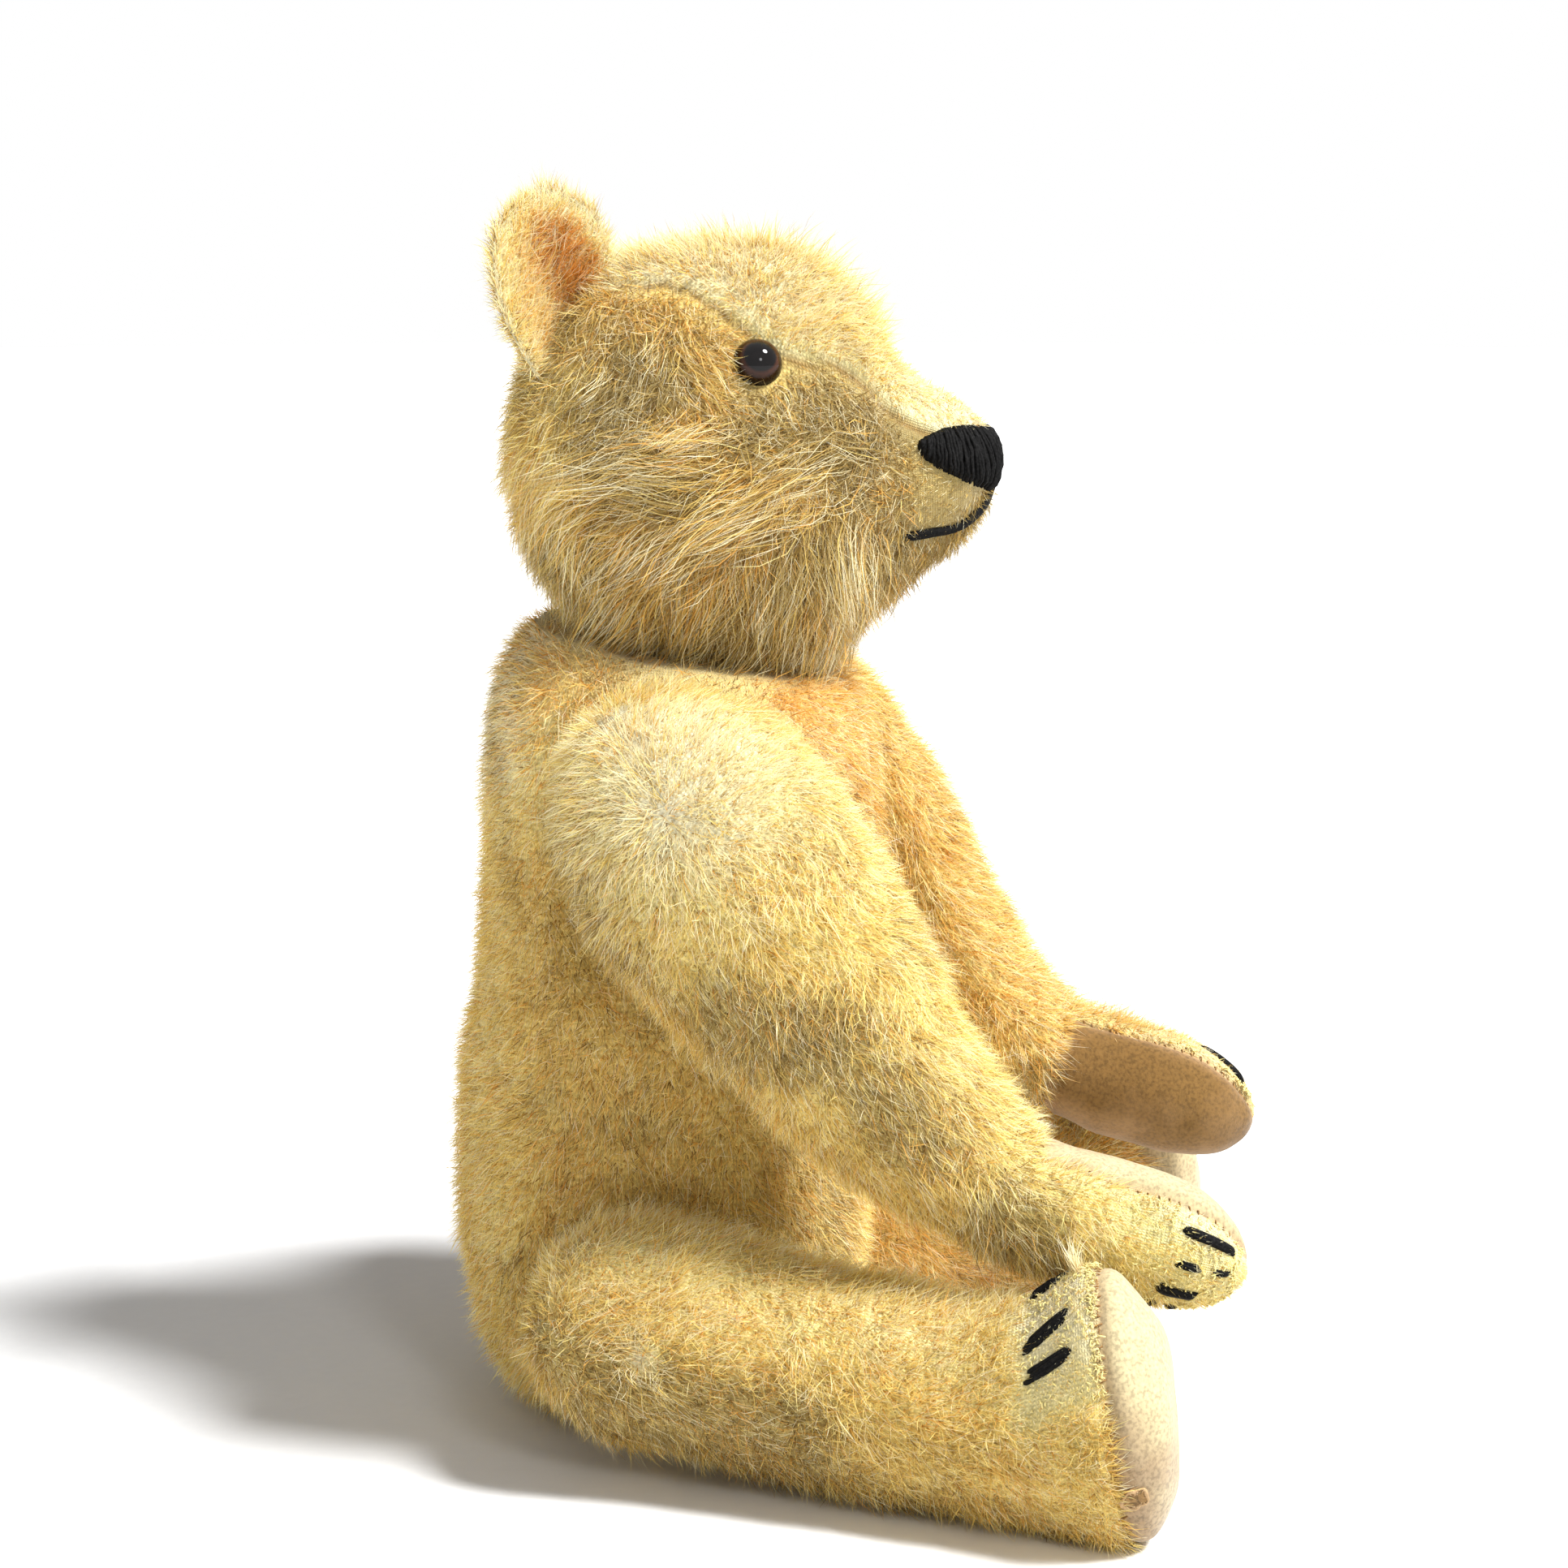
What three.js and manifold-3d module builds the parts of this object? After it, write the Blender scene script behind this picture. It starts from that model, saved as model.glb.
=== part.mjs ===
// A jointed mohair teddy bear, seated with its legs and arms forward and its head turned a little.
// Millimetres, +Z up. The bear faces -Y and its own right side is -X.
// The origin is the middle of the flat underside of the torso, on the surface that the bear sits on.

import * as THREE from "three";
import { mergeVertices } from "three/addons/utils/BufferGeometryUtils.js";
import Module from "manifold-3d";

const wasm = await Module();
wasm.setup();

// Overall sizes of the sewn and stuffed parts, measured on the cloth under the pile
const HEAD_LENGTH = 77;
const HEAD_WIDTH = 58;
const TORSO_HEIGHT = 126;
const TORSO_DEPTH = 67;
const TORSO_WIDTH = 69;
const ARM_LENGTH = 135;
const ARM_THICKNESS = 31;
const LEG_LENGTH = 101;
const LEG_THICKNESS = 33;

// Pose at rest
const HEAD_TURN = 7.5;
const NECK_TILT = 10;
const ARM_DROP = 2.3;

// Cloth, felt and the clearances between pieces
const CLOTH = 1.2;
const GAP = 0.3;
const STUFFING_GAP = 0.5;
const JOINT_GAP = 0.6;

// Places of the joints on the torso
const NECK_FORWARD = 4.4;
const SHOULDER_FORWARD = 6;
const SHOULDER_BELOW_NECK = 18;
const HIP_FORWARD = 1.5;
const TORSO_SIDE = 32;
const SIDE_FLAT_RADIUS = 30;
const SIDE_BULGE = 0.25;

// Disc joints: hardboard discs, a steel washer and a cotter pin in each
const ARM_DISC_RADIUS = 9.5;
const LEG_DISC_RADIUS = 10.5;
const NECK_DISC_RADIUS = 11.5;
const DISC_THICKNESS = 2.4;
const WASHER_RADIUS = 4.6;
const WASHER_THICKNESS = 0.8;
const PIN_RADIUS = 1.2;
const PIN_HOLE_RADIUS = 1.7;
const PIN_EYE_RADIUS = 1.7;
const PIN_WIRE = 0.55;

// Sides of the round hardware, as it is drawn
const DISC_SIDES = 16;
const WASHER_SIDES = 10;
const PIN_SIDES = 8;

// Eyes, ears and stitching
const EYE_RADIUS = 4;
const EYE_SINK = 1.4;
const SHANK_RADIUS = 0.7;
const SHANK_LENGTH = 5;
const EAR_WIDTH = 25;
const EAR_HEIGHT = 22;
const EAR_THICKNESS = 4;
const EAR_CUP = 4.5;
const NOSE_THICKNESS = 1.3;
const THREAD_RADIUS = 0.75;
const MOUTH_THREAD_RADIUS = 0.6;

// Station tables. Each row is one ring of a part, from its closed tail end to its closed nose end:
// ridge along, ridge up, keel along, keel up, half width, and how far the ring's middle stands out.
// They are drawn full size at these sizes and enlarged or reduced to the sizes above.
const PATTERN = {
  head: { length: 77, width: 58 },
  torso: { height: 126, depth: 67, width: 69 },
  arm: { length: 136, thickness: 31 },
  leg: { length: 101, thickness: 33 },
};

const HEAD_STATIONS = [
  [-28.5, 33, -28.5, 33, 0, 0],
  [-28.3, 39, -28.3, 27, 9, 0],
  [-26.5, 47, -26.8, 18.5, 18, 0],
  [-20.5, 56.5, -21.5, 8, 24.5, 0],
  [-11, 62.8, -13.5, 0.5, 28, 0],
  [1, 65.2, -2, -5, 29, 0],
  [12, 64.2, 9, -7, 28, 0],
  [21, 60, 18, -4, 25, 0],
  [27, 53.5, 24.5, 2.5, 20.5, 0],
  [30.5, 47, 30.5, 8, 16.5, 0],
  [36, 42.5, 36.5, 13, 14, 0],
  [42, 39.2, 42, 17, 12, 0],
  [46, 36, 45.6, 22, 9, 0],
  [47.8, 33, 47.6, 26.5, 5, 0],
  [48.3, 30, 48.3, 30, 0, 0],
];

const TORSO_STATIONS = [
  [-2, 0, -2, 0, 0, 0],
  [-2, 13, -2, -12, 14, 0],
  [-0.5, 22, -0.5, -20, 23, 0],
  [8, 29.5, 7, -27, 35, 0],
  [22, 33.5, 20, -30.5, 39, 0],
  [38, 35, 37, -31.8, 38, 0],
  [55, 34.5, 55, -32.5, 36, 0],
  [72, 31.8, 73, -33, 36, 0],
  [88, 30, 90, -33.2, 38, 0],
  [104, 29.8, 105, -32.6, 39.5, 0],
  [119, 28.5, 117, -29.5, 37, 0],
  [129.5, 23, 125, -24, 27, 0],
  [136, 14, 131, -18, 18, 0],
  [135, -4.4, 135, -4.4, 0, 0],
];

const ARM_STATIONS = [
  [-9.7, 13.3, -9.7, 13.3, 0, 11],
  [-5.5, 15.6, -13.2, 9.9, 7.5, 11],
  [1.5, 16.4, -16.2, 3.2, 12.5, 11],
  [10, 14.2, -16, -7.5, 15, 11],
  [19, 9.2, -10.8, -20, 15.5, 11],
  [27, 0.5, -1.8, -30.2, 15.5, 11.3],
  [34, -9.5, 9.5, -40, 15, 11.8],
  [40.5, -21, 21, -50, 14.2, 12],
  [46, -31, 32.5, -57.5, 13, 12],
  [52.5, -41, 44, -63.5, 11.8, 11.8],
  [60, -49, 55.5, -68, 11, 11.3],
  [71, -52, 67, -72, 10.8, 11],
  [81, -54.3, 78.5, -74.3, 10.5, 11],
  [88.5, -58.5, 86.5, -74, 8.8, 11],
  [92.5, -63.5, 91.2, -71.3, 5, 11],
  [93.8, -67.7, 93.8, -67.7, 0, 11],
];

const LEG_STATIONS = [
  [-16.2, 1.4, -16.2, 1.4, 0, 11.5],
  [-15.6, 6.5, -16, -4, 7, 11.5],
  [-12, 12, -13.2, -10, 12.5, 11.5],
  [-4.5, 16, -6.5, -15.2, 15.8, 11.5],
  [6, 16.2, 4.5, -18.3, 16.5, 11.8],
  [18, 14, 16.5, -20, 16.5, 13.2],
  [30, 11.5, 28.5, -21, 16.3, 16],
  [42, 9.8, 40.5, -21.8, 15.8, 19.5],
  [53, 9, 52, -22.5, 15.2, 23],
  [61, 11.2, 62, -23.2, 14.8, 26],
  [67, 15.6, 71, -23.5, 14.6, 29],
  [71.5, 18.4, 77.5, -23.4, 14.3, 31],
  [76, 17.4, 81.5, -21.5, 13, 32],
  [80.5, 12.5, 84, -17.5, 10.5, 32.5],
  [83.2, 7, 85.2, -12, 6.5, 32.8],
  [84.8, -3, 84.8, -3, 0, 33],
];

// Materials, one per finish
const finish = (color, roughness, metalness = 0) =>
  new THREE.MeshStandardMaterial({ color, roughness, metalness });
const mohair = finish(0xd9bd7c, 0.95);
const felt = finish(0xe2c79b, 0.95);
const woodWool = finish(0xc9a86a, 1);
const blackThread = finish(0x17140f, 0.7);
const eyeGlass = finish(0x24140a, 0.08);
const hardboard = finish(0x7a5a38, 0.85);
const steel = finish(0x9a9a98, 0.4, 0.9);

// Solids from closed meshes, and meshes from solids
function solidOf(geometry) {
  const plain = geometry.index ? geometry.toNonIndexed() : geometry.clone();
  plain.deleteAttribute("normal");
  plain.deleteAttribute("uv");
  const merged = mergeVertices(plain, 1e-4);
  const index = Array.from(merged.index.array);
  const kept = [];
  for (let i = 0; i < index.length; i += 3) {
    const [a, b, c] = index.slice(i, i + 3);
    if (a !== b && b !== c && c !== a) kept.push(a, b, c);
  }
  merged.setIndex(kept);
  if (signedVolume(merged) < 0) kept.reverse();
  return new wasm.Manifold(
    new wasm.Mesh({
      numProp: 3,
      vertProperties: new Float32Array(merged.attributes.position.array),
      triVerts: new Uint32Array(kept),
    }),
  );
}

function meshOf(name, solid, material) {
  const { vertProperties, triVerts } = solid.getMesh();
  const geometry = new THREE.BufferGeometry();
  geometry.setAttribute("position", new THREE.Float32BufferAttribute(vertProperties, 3));
  geometry.setIndex(Array.from(triVerts));
  geometry.computeVertexNormals();
  const mesh = new THREE.Mesh(geometry, material.clone());
  mesh.name = name;
  return mesh;
}

// A lofted part: rings spanned between a ridge and a keel line, with a half width at each station
class Loft {
  constructor(stations, { inPlane = 1, across = 1, upScale = inPlane, place, press = (p) => p }) {
    const line = (i, j) =>
      new THREE.SplineCurve(
        stations.map((s) => new THREE.Vector2(s[i] * inPlane, s[j] * upScale)),
      );
    this.ridge = line(0, 1);
    this.keel = line(2, 3);
    this.girth = new THREE.SplineCurve(
      stations.map((s) => new THREE.Vector2(s[4] * across, s[5] * across)),
    );
    this.rings = stations.length - 1;
    this.place = place;
    this.press = press;
  }

  // v runs from 0 at the tail to 1 at the nose. The angle is 0 on the ridge and grows outward.
  surface(v, angle) {
    const top = this.ridge.getPoint(v);
    const low = this.keel.getPoint(v);
    const { x: half, y: middle } = this.girth.getPoint(v);
    const mid = top.clone().add(low).multiplyScalar(0.5);
    const rise = top.clone().sub(low).multiplyScalar(0.5 * Math.cos(angle));
    const out = middle + Math.max(half, 0) * Math.sin(angle);
    return this.press(this.place(mid.x + rise.x, mid.y + rise.y, out));
  }

  // Height of the lowest point of the keel, over the rows of a skin
  lowest(rows) {
    const heights = Array.from({ length: rows + 1 }, (_, row) => this.surface(row / rows, Math.PI).z);
    return Math.min(...heights);
  }

  middle(v) {
    const mid = this.ridge.getPoint(v).add(this.keel.getPoint(v)).multiplyScalar(0.5);
    return this.place(mid.x, mid.y, this.girth.getPoint(v).y);
  }

  normal(v, angle) {
    const step = 0.01;
    const along = this.surface(v + step, angle).sub(this.surface(v - step, angle));
    const around = this.surface(v, angle + step).sub(this.surface(v, angle - step));
    const out = along.cross(around).normalize();
    return out.dot(this.surface(v, angle).sub(this.middle(v))) < 0 ? out.negate() : out;
  }

  // Closed skin, moved outward by offset along the vertex normals
  skin(around, rows, offset = 0) {
    const sphere = new THREE.SphereGeometry(1, around, rows);
    const position = sphere.attributes.position;
    for (let row = 0; row <= rows; row++) {
      for (let column = 0; column <= around; column++) {
        const angle = (2 * Math.PI * (column % around)) / around;
        const point = this.surface(row / rows, angle);
        position.setXYZ(row * (around + 1) + column, point.x, point.y, point.z);
      }
    }
    sphere.deleteAttribute("normal");
    sphere.deleteAttribute("uv");
    const merged = mergeVertices(sphere, 1e-4);
    merged.computeVertexNormals();
    const facing = Math.sign(signedVolume(merged));
    const points = merged.attributes.position;
    const normals = merged.attributes.normal;
    for (let i = 0; i < points.count; i++) {
      const point = new THREE.Vector3().fromBufferAttribute(points, i);
      const normal = new THREE.Vector3().fromBufferAttribute(normals, i);
      point.addScaledVector(normal, offset * facing);
      points.setXYZ(i, point.x, point.y, point.z);
    }
    return solidOf(merged);
  }
}

function signedVolume(geometry) {
  const { array } = geometry.index;
  const points = geometry.attributes.position;
  const corner = (i) => new THREE.Vector3().fromBufferAttribute(points, array[i]);
  let sum = 0;
  for (let i = 0; i < array.length; i += 3) {
    sum += corner(i).dot(corner(i + 1).cross(corner(i + 2)));
  }
  return sum / 6;
}

// Placed primitives used for cutting and for the small hard pieces
function placed(geometry, position = [0, 0, 0], quaternion = new THREE.Quaternion()) {
  const matrix = new THREE.Matrix4().compose(
    new THREE.Vector3(...position),
    quaternion,
    new THREE.Vector3(1, 1, 1),
  );
  return solidOf(geometry.clone().applyMatrix4(matrix));
}

const toward = (direction) =>
  new THREE.Quaternion().setFromUnitVectors(new THREE.Vector3(0, 0, 1), direction);

// A round bar along local Z from low to high, turned onto a joint axis
function bar(radius, low, high, sides, axis) {
  const cylinder = new THREE.CylinderGeometry(radius, radius, high - low, sides);
  cylinder.rotateX(Math.PI / 2).translate(0, 0, (low + high) / 2);
  return placed(cylinder, [0, 0, 0], toward(axis));
}

// Heights of the joint's pieces along its axis, counted from the middle of the gap between covers
const DISC_START = JOINT_GAP / 2 + CLOTH + GAP;
const DISC_END = DISC_START + DISC_THICKNESS;
const WASHER_START = DISC_END + GAP;
const WASHER_END = WASHER_START + WASHER_THICKNESS;
const PIN_EYE_START = WASHER_END + GAP;
const PIN_EYE_END = PIN_EYE_START + 2 * (PIN_EYE_RADIUS + PIN_WIRE);
const PIN_TAIL_START = DISC_END + GAP;
const PIN_TAIL_END = PIN_TAIL_START + 2 * (PIN_EYE_RADIUS + PIN_WIRE);
const POCKET_GAP = 0.4;
const POCKET_RADIUS = 5.6;

function ringPlate(radius, low, high, sides, axis) {
  return bar(radius, low, high, sides, axis).subtract(
    bar(PIN_HOLE_RADIUS, low - GAP, high + GAP, PIN_SIDES, axis),
  );
}

// Room in the stuffing for a joint's disc, washer and pin end, on one side of the joint
function pocket(discRadius, depth, axis) {
  const wide = bar(discRadius + POCKET_GAP, -CLOTH, DISC_END + POCKET_GAP, DISC_SIDES, axis);
  return wide.add(bar(POCKET_RADIUS, 0, depth + POCKET_GAP, PIN_SIDES, axis));
}

// The pin's hole through a cover, and the flat that the disc presses into the inside of the cloth
function discSeat(discRadius, axis) {
  const start = JOINT_GAP / 2 + CLOTH;
  const flat = bar(discRadius + POCKET_GAP, start, DISC_END + POCKET_GAP, DISC_SIDES, axis);
  return flat.add(bar(PIN_HOLE_RADIUS, -CLOTH, 3 * CLOTH, PIN_SIDES, axis));
}

// The cotter pin: an eye on the limb side, a shaft, and two tails curled back on the torso side
function cotterPin(axis) {
  const ring = (x, z) =>
    placed(
      new THREE.TorusGeometry(PIN_EYE_RADIUS, PIN_WIRE, 4, 6).rotateX(Math.PI / 2).translate(x, 0, z),
      [0, 0, 0],
      toward(axis),
    );
  const curl = PIN_EYE_RADIUS + PIN_WIRE;
  const shaft = bar(PIN_RADIUS, -PIN_TAIL_START - PIN_WIRE, PIN_EYE_START + PIN_WIRE, PIN_SIDES, axis);
  return shaft
    .add(ring(0, PIN_EYE_START + curl))
    .add(ring(curl - PIN_WIRE, -PIN_TAIL_START - curl))
    .add(ring(PIN_WIRE - curl, -PIN_TAIL_START - curl));
}

// The joint's loose hardware, as named meshes in the joint's own frame
function jointHardware(name, discRadius, axis) {
  const inward = axis.clone().negate();
  return {
    limb: [
      meshOf(`${name}_limb_disc`, ringPlate(discRadius, DISC_START, DISC_END, DISC_SIDES, axis), hardboard),
      meshOf(
        `${name}_washer`,
        ringPlate(WASHER_RADIUS, WASHER_START, WASHER_END, WASHER_SIDES, axis),
        steel,
      ),
    ],
    torso: [
      meshOf(
        `${name}_torso_disc`,
        ringPlate(discRadius, DISC_START, DISC_END, DISC_SIDES, inward),
        hardboard,
      ),
      meshOf(`${name}_cotter_pin`, cotterPin(axis), steel),
    ],
  };
}

// A line of thick thread laid on a lofted part, through the given stations and angles
function threadOn(loft, places, radius) {
  const lift = radius + GAP;
  const points = places.map(([v, angle]) =>
    loft.surface(v, angle).addScaledVector(loft.normal(v, angle), lift),
  );
  const section = new THREE.Shape(
    Array.from({ length: 6 }, (_, i) => {
      const turn = (i * Math.PI) / 3;
      return new THREE.Vector2(radius * Math.cos(turn), radius * Math.sin(turn));
    }),
  );
  const path = new THREE.CatmullRomCurve3(points);
  const strand = new THREE.ExtrudeGeometry(section, {
    steps: 2 * (points.length - 1),
    bevelEnabled: false,
    extrudePath: path,
  });
  return solidOf(strand);
}

const radians = THREE.MathUtils.degToRad;
const neckAxis = new THREE.Vector3(0, -Math.sin(radians(NECK_TILT)), Math.cos(radians(NECK_TILT)));
const sideAxis = (side) => new THREE.Vector3(side, 0, 0);
const ACROSS = sideAxis(1);

// Resolution of the lofted skins
const HEAD_GRID = [20, 17];
const TORSO_GRID = [24, 14];
const ARM_GRID = [16, 15];
const LEG_GRID = [16, 15];

// Cover and stuffing of one lofted part. The cuts open the cover where pins, eyes and pads go.
function coverShell(loft, [around, rows]) {
  return loft.skin(around, rows).subtract(loft.skin(around, rows, -CLOTH));
}

function stuffingOf(loft, [around, rows]) {
  return loft.skin(around / 2, rows, -CLOTH - STUFFING_GAP);
}

// Torso
const torsoUp = TORSO_HEIGHT / PATTERN.torso.height;
const torsoDeep = TORSO_DEPTH / PATTERN.torso.depth;
const neck = new THREE.Vector3(0, -NECK_FORWARD, TORSO_HEIGHT);
const shoulderAt = (side) =>
  new THREE.Vector3(side * (TORSO_SIDE + JOINT_GAP / 2), -SHOULDER_FORWARD, neck.z - SHOULDER_BELOW_NECK);

// The hips stand as high as brings the heels onto the surface that the bear sits on
const legScale = LEG_LENGTH / PATTERN.leg.length;
const legWidth = LEG_THICKNESS / PATTERN.leg.thickness;
const legLoft = (side) => limbLoft(LEG_STATIONS, side, legScale, legWidth, 0);
const heelDrop = -legLoft(1).lowest(LEG_GRID[1]);
const hipAt = (side) =>
  new THREE.Vector3(side * (TORSO_SIDE + JOINT_GAP / 2), -HIP_FORWARD, heelDrop);

// The torso's sides lie flat where a limb turns against them, and bulge a little further away
function sideLimit(point) {
  const reach = [shoulderAt(1), hipAt(1)].map((joint) =>
    Math.hypot(point.y - joint.y, point.z - joint.z),
  );
  const away = Math.max(0, Math.min(...reach) - SIDE_FLAT_RADIUS);
  return TORSO_SIDE + SIDE_BULGE * away;
}

const torso = new Loft(TORSO_STATIONS, {
  inPlane: torsoUp,
  upScale: torsoDeep,
  across: TORSO_WIDTH / PATTERN.torso.width,
  place: (along, up, out) => new THREE.Vector3(out, up, along),
  press: (p) => {
    p.z = Math.max(p.z, 0);
    const limit = sideLimit(p);
    p.x = THREE.MathUtils.clamp(p.x, -limit, limit);
    const above = p.clone().sub(neck).dot(neckAxis) + JOINT_GAP / 2;
    return above > 0 ? p.addScaledVector(neckAxis, -above) : p;
  },
});

const SIDES = [
  ["right", -1],
  ["left", 1],
];

function atJoint(solid, joint) {
  return solid.translate([joint.x, joint.y, joint.z]);
}

function torsoMeshes() {
  let cover = coverShell(torso, TORSO_GRID);
  let filling = stuffingOf(torso, TORSO_GRID);
  const joints = [[neck, neckAxis, NECK_DISC_RADIUS]];
  for (const [, side] of SIDES) {
    joints.push([shoulderAt(side), sideAxis(side), ARM_DISC_RADIUS]);
    joints.push([hipAt(side), sideAxis(side), LEG_DISC_RADIUS]);
  }
  for (const [place, axis, radius] of joints) {
    const inward = axis.clone().negate();
    cover = cover.subtract(atJoint(discSeat(radius, inward), place));
    filling = filling.subtract(atJoint(pocket(radius, PIN_TAIL_END, inward), place));
  }
  return [meshOf("torso_cover", cover, mohair), meshOf("torso_stuffing", filling, woodWool)];
}

// Limbs: an arm or a leg, in the frame of its own joint, with a felt pad let into its end.
// drop is how many degrees the limb hangs below the way its stations are drawn.
function limbLoft(stations, side, inPlane, across, drop) {
  const plane = JOINT_GAP / 2;
  return new Loft(stations, {
    inPlane,
    across,
    place: (along, up, out) =>
      new THREE.Vector3(side * out, -along, up).applyAxisAngle(ACROSS, radians(drop)),
    press: (p) => {
      p.x = side * Math.max(side * p.x, plane);
      return p;
    },
  });
}

function limbMeshes(name, { loft, grid, side, discRadius, padName, padBlock }) {
  const axis = sideAxis(side);
  const shell = coverShell(loft, grid);
  const cover = shell.subtract(discSeat(discRadius, axis)).subtract(padBlock(GAP));
  const filling = stuffingOf(loft, grid).subtract(pocket(discRadius, PIN_EYE_END, axis));
  return [
    meshOf(`${name}_cover`, cover, mohair),
    meshOf(`${name}_stuffing`, filling, woodWool),
    meshOf(padName, shell.intersect(padBlock(0)), felt),
  ];
}

// A block that stands on a sloping plane: everything on its far side belongs to the pad.
// grow moves its faces back, to leave the seam's gap in the cover.
function blockBeyond(origin, facing, across, size, grow) {
  const out = facing.clone().normalize();
  const side = across.clone().addScaledVector(out, -across.dot(out)).normalize();
  const third = new THREE.Vector3().crossVectors(out, side);
  const box = new THREE.BoxGeometry(size[0] + 2 * grow, size[1], size[2] + grow);
  box.translate(0, 0, size[2] / 2 - grow / 2);
  const turn = new THREE.Matrix4().makeBasis(side, third, out).setPosition(origin);
  return solidOf(box.applyMatrix4(turn));
}

// Paw pads: felt on half of each paw, from a straight seam at the wrist to the tip.
// The palm's lean is the angle in degrees from facing up toward facing inward.
const PAW_SEAM = 0.67;
const PAW_TIP = 0.93;
const PAW_REACH = 60;
const PALM_LEAN = { right: 55, left: 115 };

function pawBlock(loft, label, side) {
  return (grow) => {
    const wrist = loft.middle(PAW_SEAM);
    const along = loft.middle(PAW_TIP).sub(wrist).normalize();
    const up = new THREE.Vector3(0, 0, 1).addScaledVector(along, -along.z).normalize();
    const lean = radians(PALM_LEAN[label]);
    const facing = up.multiplyScalar(Math.cos(lean));
    facing.addScaledVector(new THREE.Vector3(-side, 0, 0), Math.sin(lean));
    const origin = wrist.clone().addScaledVector(along, PAW_REACH / 2);
    return blockBeyond(origin, facing, along, [PAW_REACH, PAW_REACH, PAW_REACH], grow);
  };
}

// Foot pads: felt over the whole sole, in front of a plane that leans back toward the toe
const SOLE_SEAM = 0.745;
const SOLE_SIZE = 80;

function soleBlock(loft) {
  return (grow) => {
    const toe = loft.surface(SOLE_SEAM, 0);
    const heel = loft.surface(SOLE_SEAM, Math.PI);
    const rise = toe.clone().sub(heel).normalize();
    const facing = new THREE.Vector3(0, -1, 0).addScaledVector(rise, rise.y).normalize();
    const origin = toe.clone().add(heel).multiplyScalar(0.5);
    return blockBeyond(origin, facing, rise, [SOLE_SIZE, SOLE_SIZE, SOLE_SIZE / 2], grow);
  };
}

// Claw stitches: an angle and the stations that each stitch runs between.
// On a paw the angle counts from the pad's outer edge, and on a foot from the ridge.
const PAW_CLAWS = [
  [23, 0.82, 0.9],
  [55, 0.82, 0.9],
  [86, 0.81, 0.87],
  [114, 0.79, 0.84],
];
const FOOT_CLAWS = [
  [52, 0.665, 0.735],
  [32, 0.66, 0.735],
  [5, 0.67, 0.725],
  [-22, 0.67, 0.725],
];

function clawMeshes(name, loft, claws, edge) {
  return claws.map(([angle, from, to], i) => {
    const turn = radians(edge + angle);
    const places = [from, (from + to) / 2, to].map((v) => [v, turn]);
    return meshOf(`${name}_claw_${i + 1}`, threadOn(loft, places, THREAD_RADIUS), blackThread);
  });
}

// With a taller or a shorter torso the arms hang more or less, so that the paws stay as high over the legs
const pawReach = ARM_STATIONS.at(-4)[0] * (ARM_LENGTH / PATTERN.arm.length);
const torsoExtra = TORSO_HEIGHT - PATTERN.torso.height;
const armDrop = ARM_DROP + THREE.MathUtils.radToDeg(Math.asin(torsoExtra / pawReach));

function armParts(label, side) {
  const scale = ARM_LENGTH / PATTERN.arm.length;
  const width = ARM_THICKNESS / PATTERN.arm.thickness;
  const loft = limbLoft(ARM_STATIONS, side, scale, width, armDrop);
  const meshes = limbMeshes(`arm_${label}`, {
    loft,
    grid: ARM_GRID,
    side,
    discRadius: ARM_DISC_RADIUS,
    padName: `paw_pad_${label}`,
    padBlock: pawBlock(loft, label, side),
  });
  const hardware = jointHardware(`shoulder_${label}`, ARM_DISC_RADIUS, sideAxis(side));
  const claws = clawMeshes(`paw_${label}`, loft, PAW_CLAWS, 90 - PALM_LEAN[label]);
  return { place: shoulderAt(side), limb: [...meshes, ...hardware.limb, ...claws], torso: hardware.torso };
}

function legParts(label, side) {
  const loft = legLoft(side);
  const meshes = limbMeshes(`leg_${label}`, {
    loft,
    grid: LEG_GRID,
    side,
    discRadius: LEG_DISC_RADIUS,
    padName: `foot_pad_${label}`,
    padBlock: soleBlock(loft),
  });
  const hardware = jointHardware(`hip_${label}`, LEG_DISC_RADIUS, sideAxis(side));
  const claws = clawMeshes(`foot_${label}`, loft, FOOT_CLAWS, 0);
  return { place: hipAt(side), limb: [...meshes, ...hardware.limb, ...claws], torso: hardware.torso };
}

// Head, in the frame of the neck joint before it is turned
const headScale = HEAD_LENGTH / PATTERN.head.length;
const CHEEK_FULLNESS = 0.16;
const CHEEK_HEIGHT = 30;
const CHEEK_REACH = 35;

const head = new Loft(HEAD_STATIONS, {
  inPlane: headScale,
  across: HEAD_WIDTH / PATTERN.head.width,
  place: (along, up, out) => new THREE.Vector3(out, -along, up),
  press: (p) => {
    const height = (p.z / headScale - CHEEK_HEIGHT) / CHEEK_REACH;
    p.x *= 1 - CHEEK_FULLNESS * Math.max(height, 0);
    const below = JOINT_GAP / 2 - p.dot(neckAxis);
    return below > 0 ? p.addScaledVector(neckAxis, below) : p;
  },
});

// Places on the head, as a station and an angle from the ridge
const EYE_PLACE = [0.42, 55];
const EAR_ROOT = [0.215, 31];
const EAR_BASE = [-0.62, 0.5, -0.6];
const EAR_RISE = [-0.42, 0.3, 0.86];
const EAR_FOOT = 0.35;

function eyeFrame(side) {
  const angle = side * radians(EYE_PLACE[1]);
  const out = head.normal(EYE_PLACE[0], angle);
  const centre = head.surface(EYE_PLACE[0], angle).addScaledVector(out, -EYE_SINK);
  return { out, centre };
}

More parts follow.
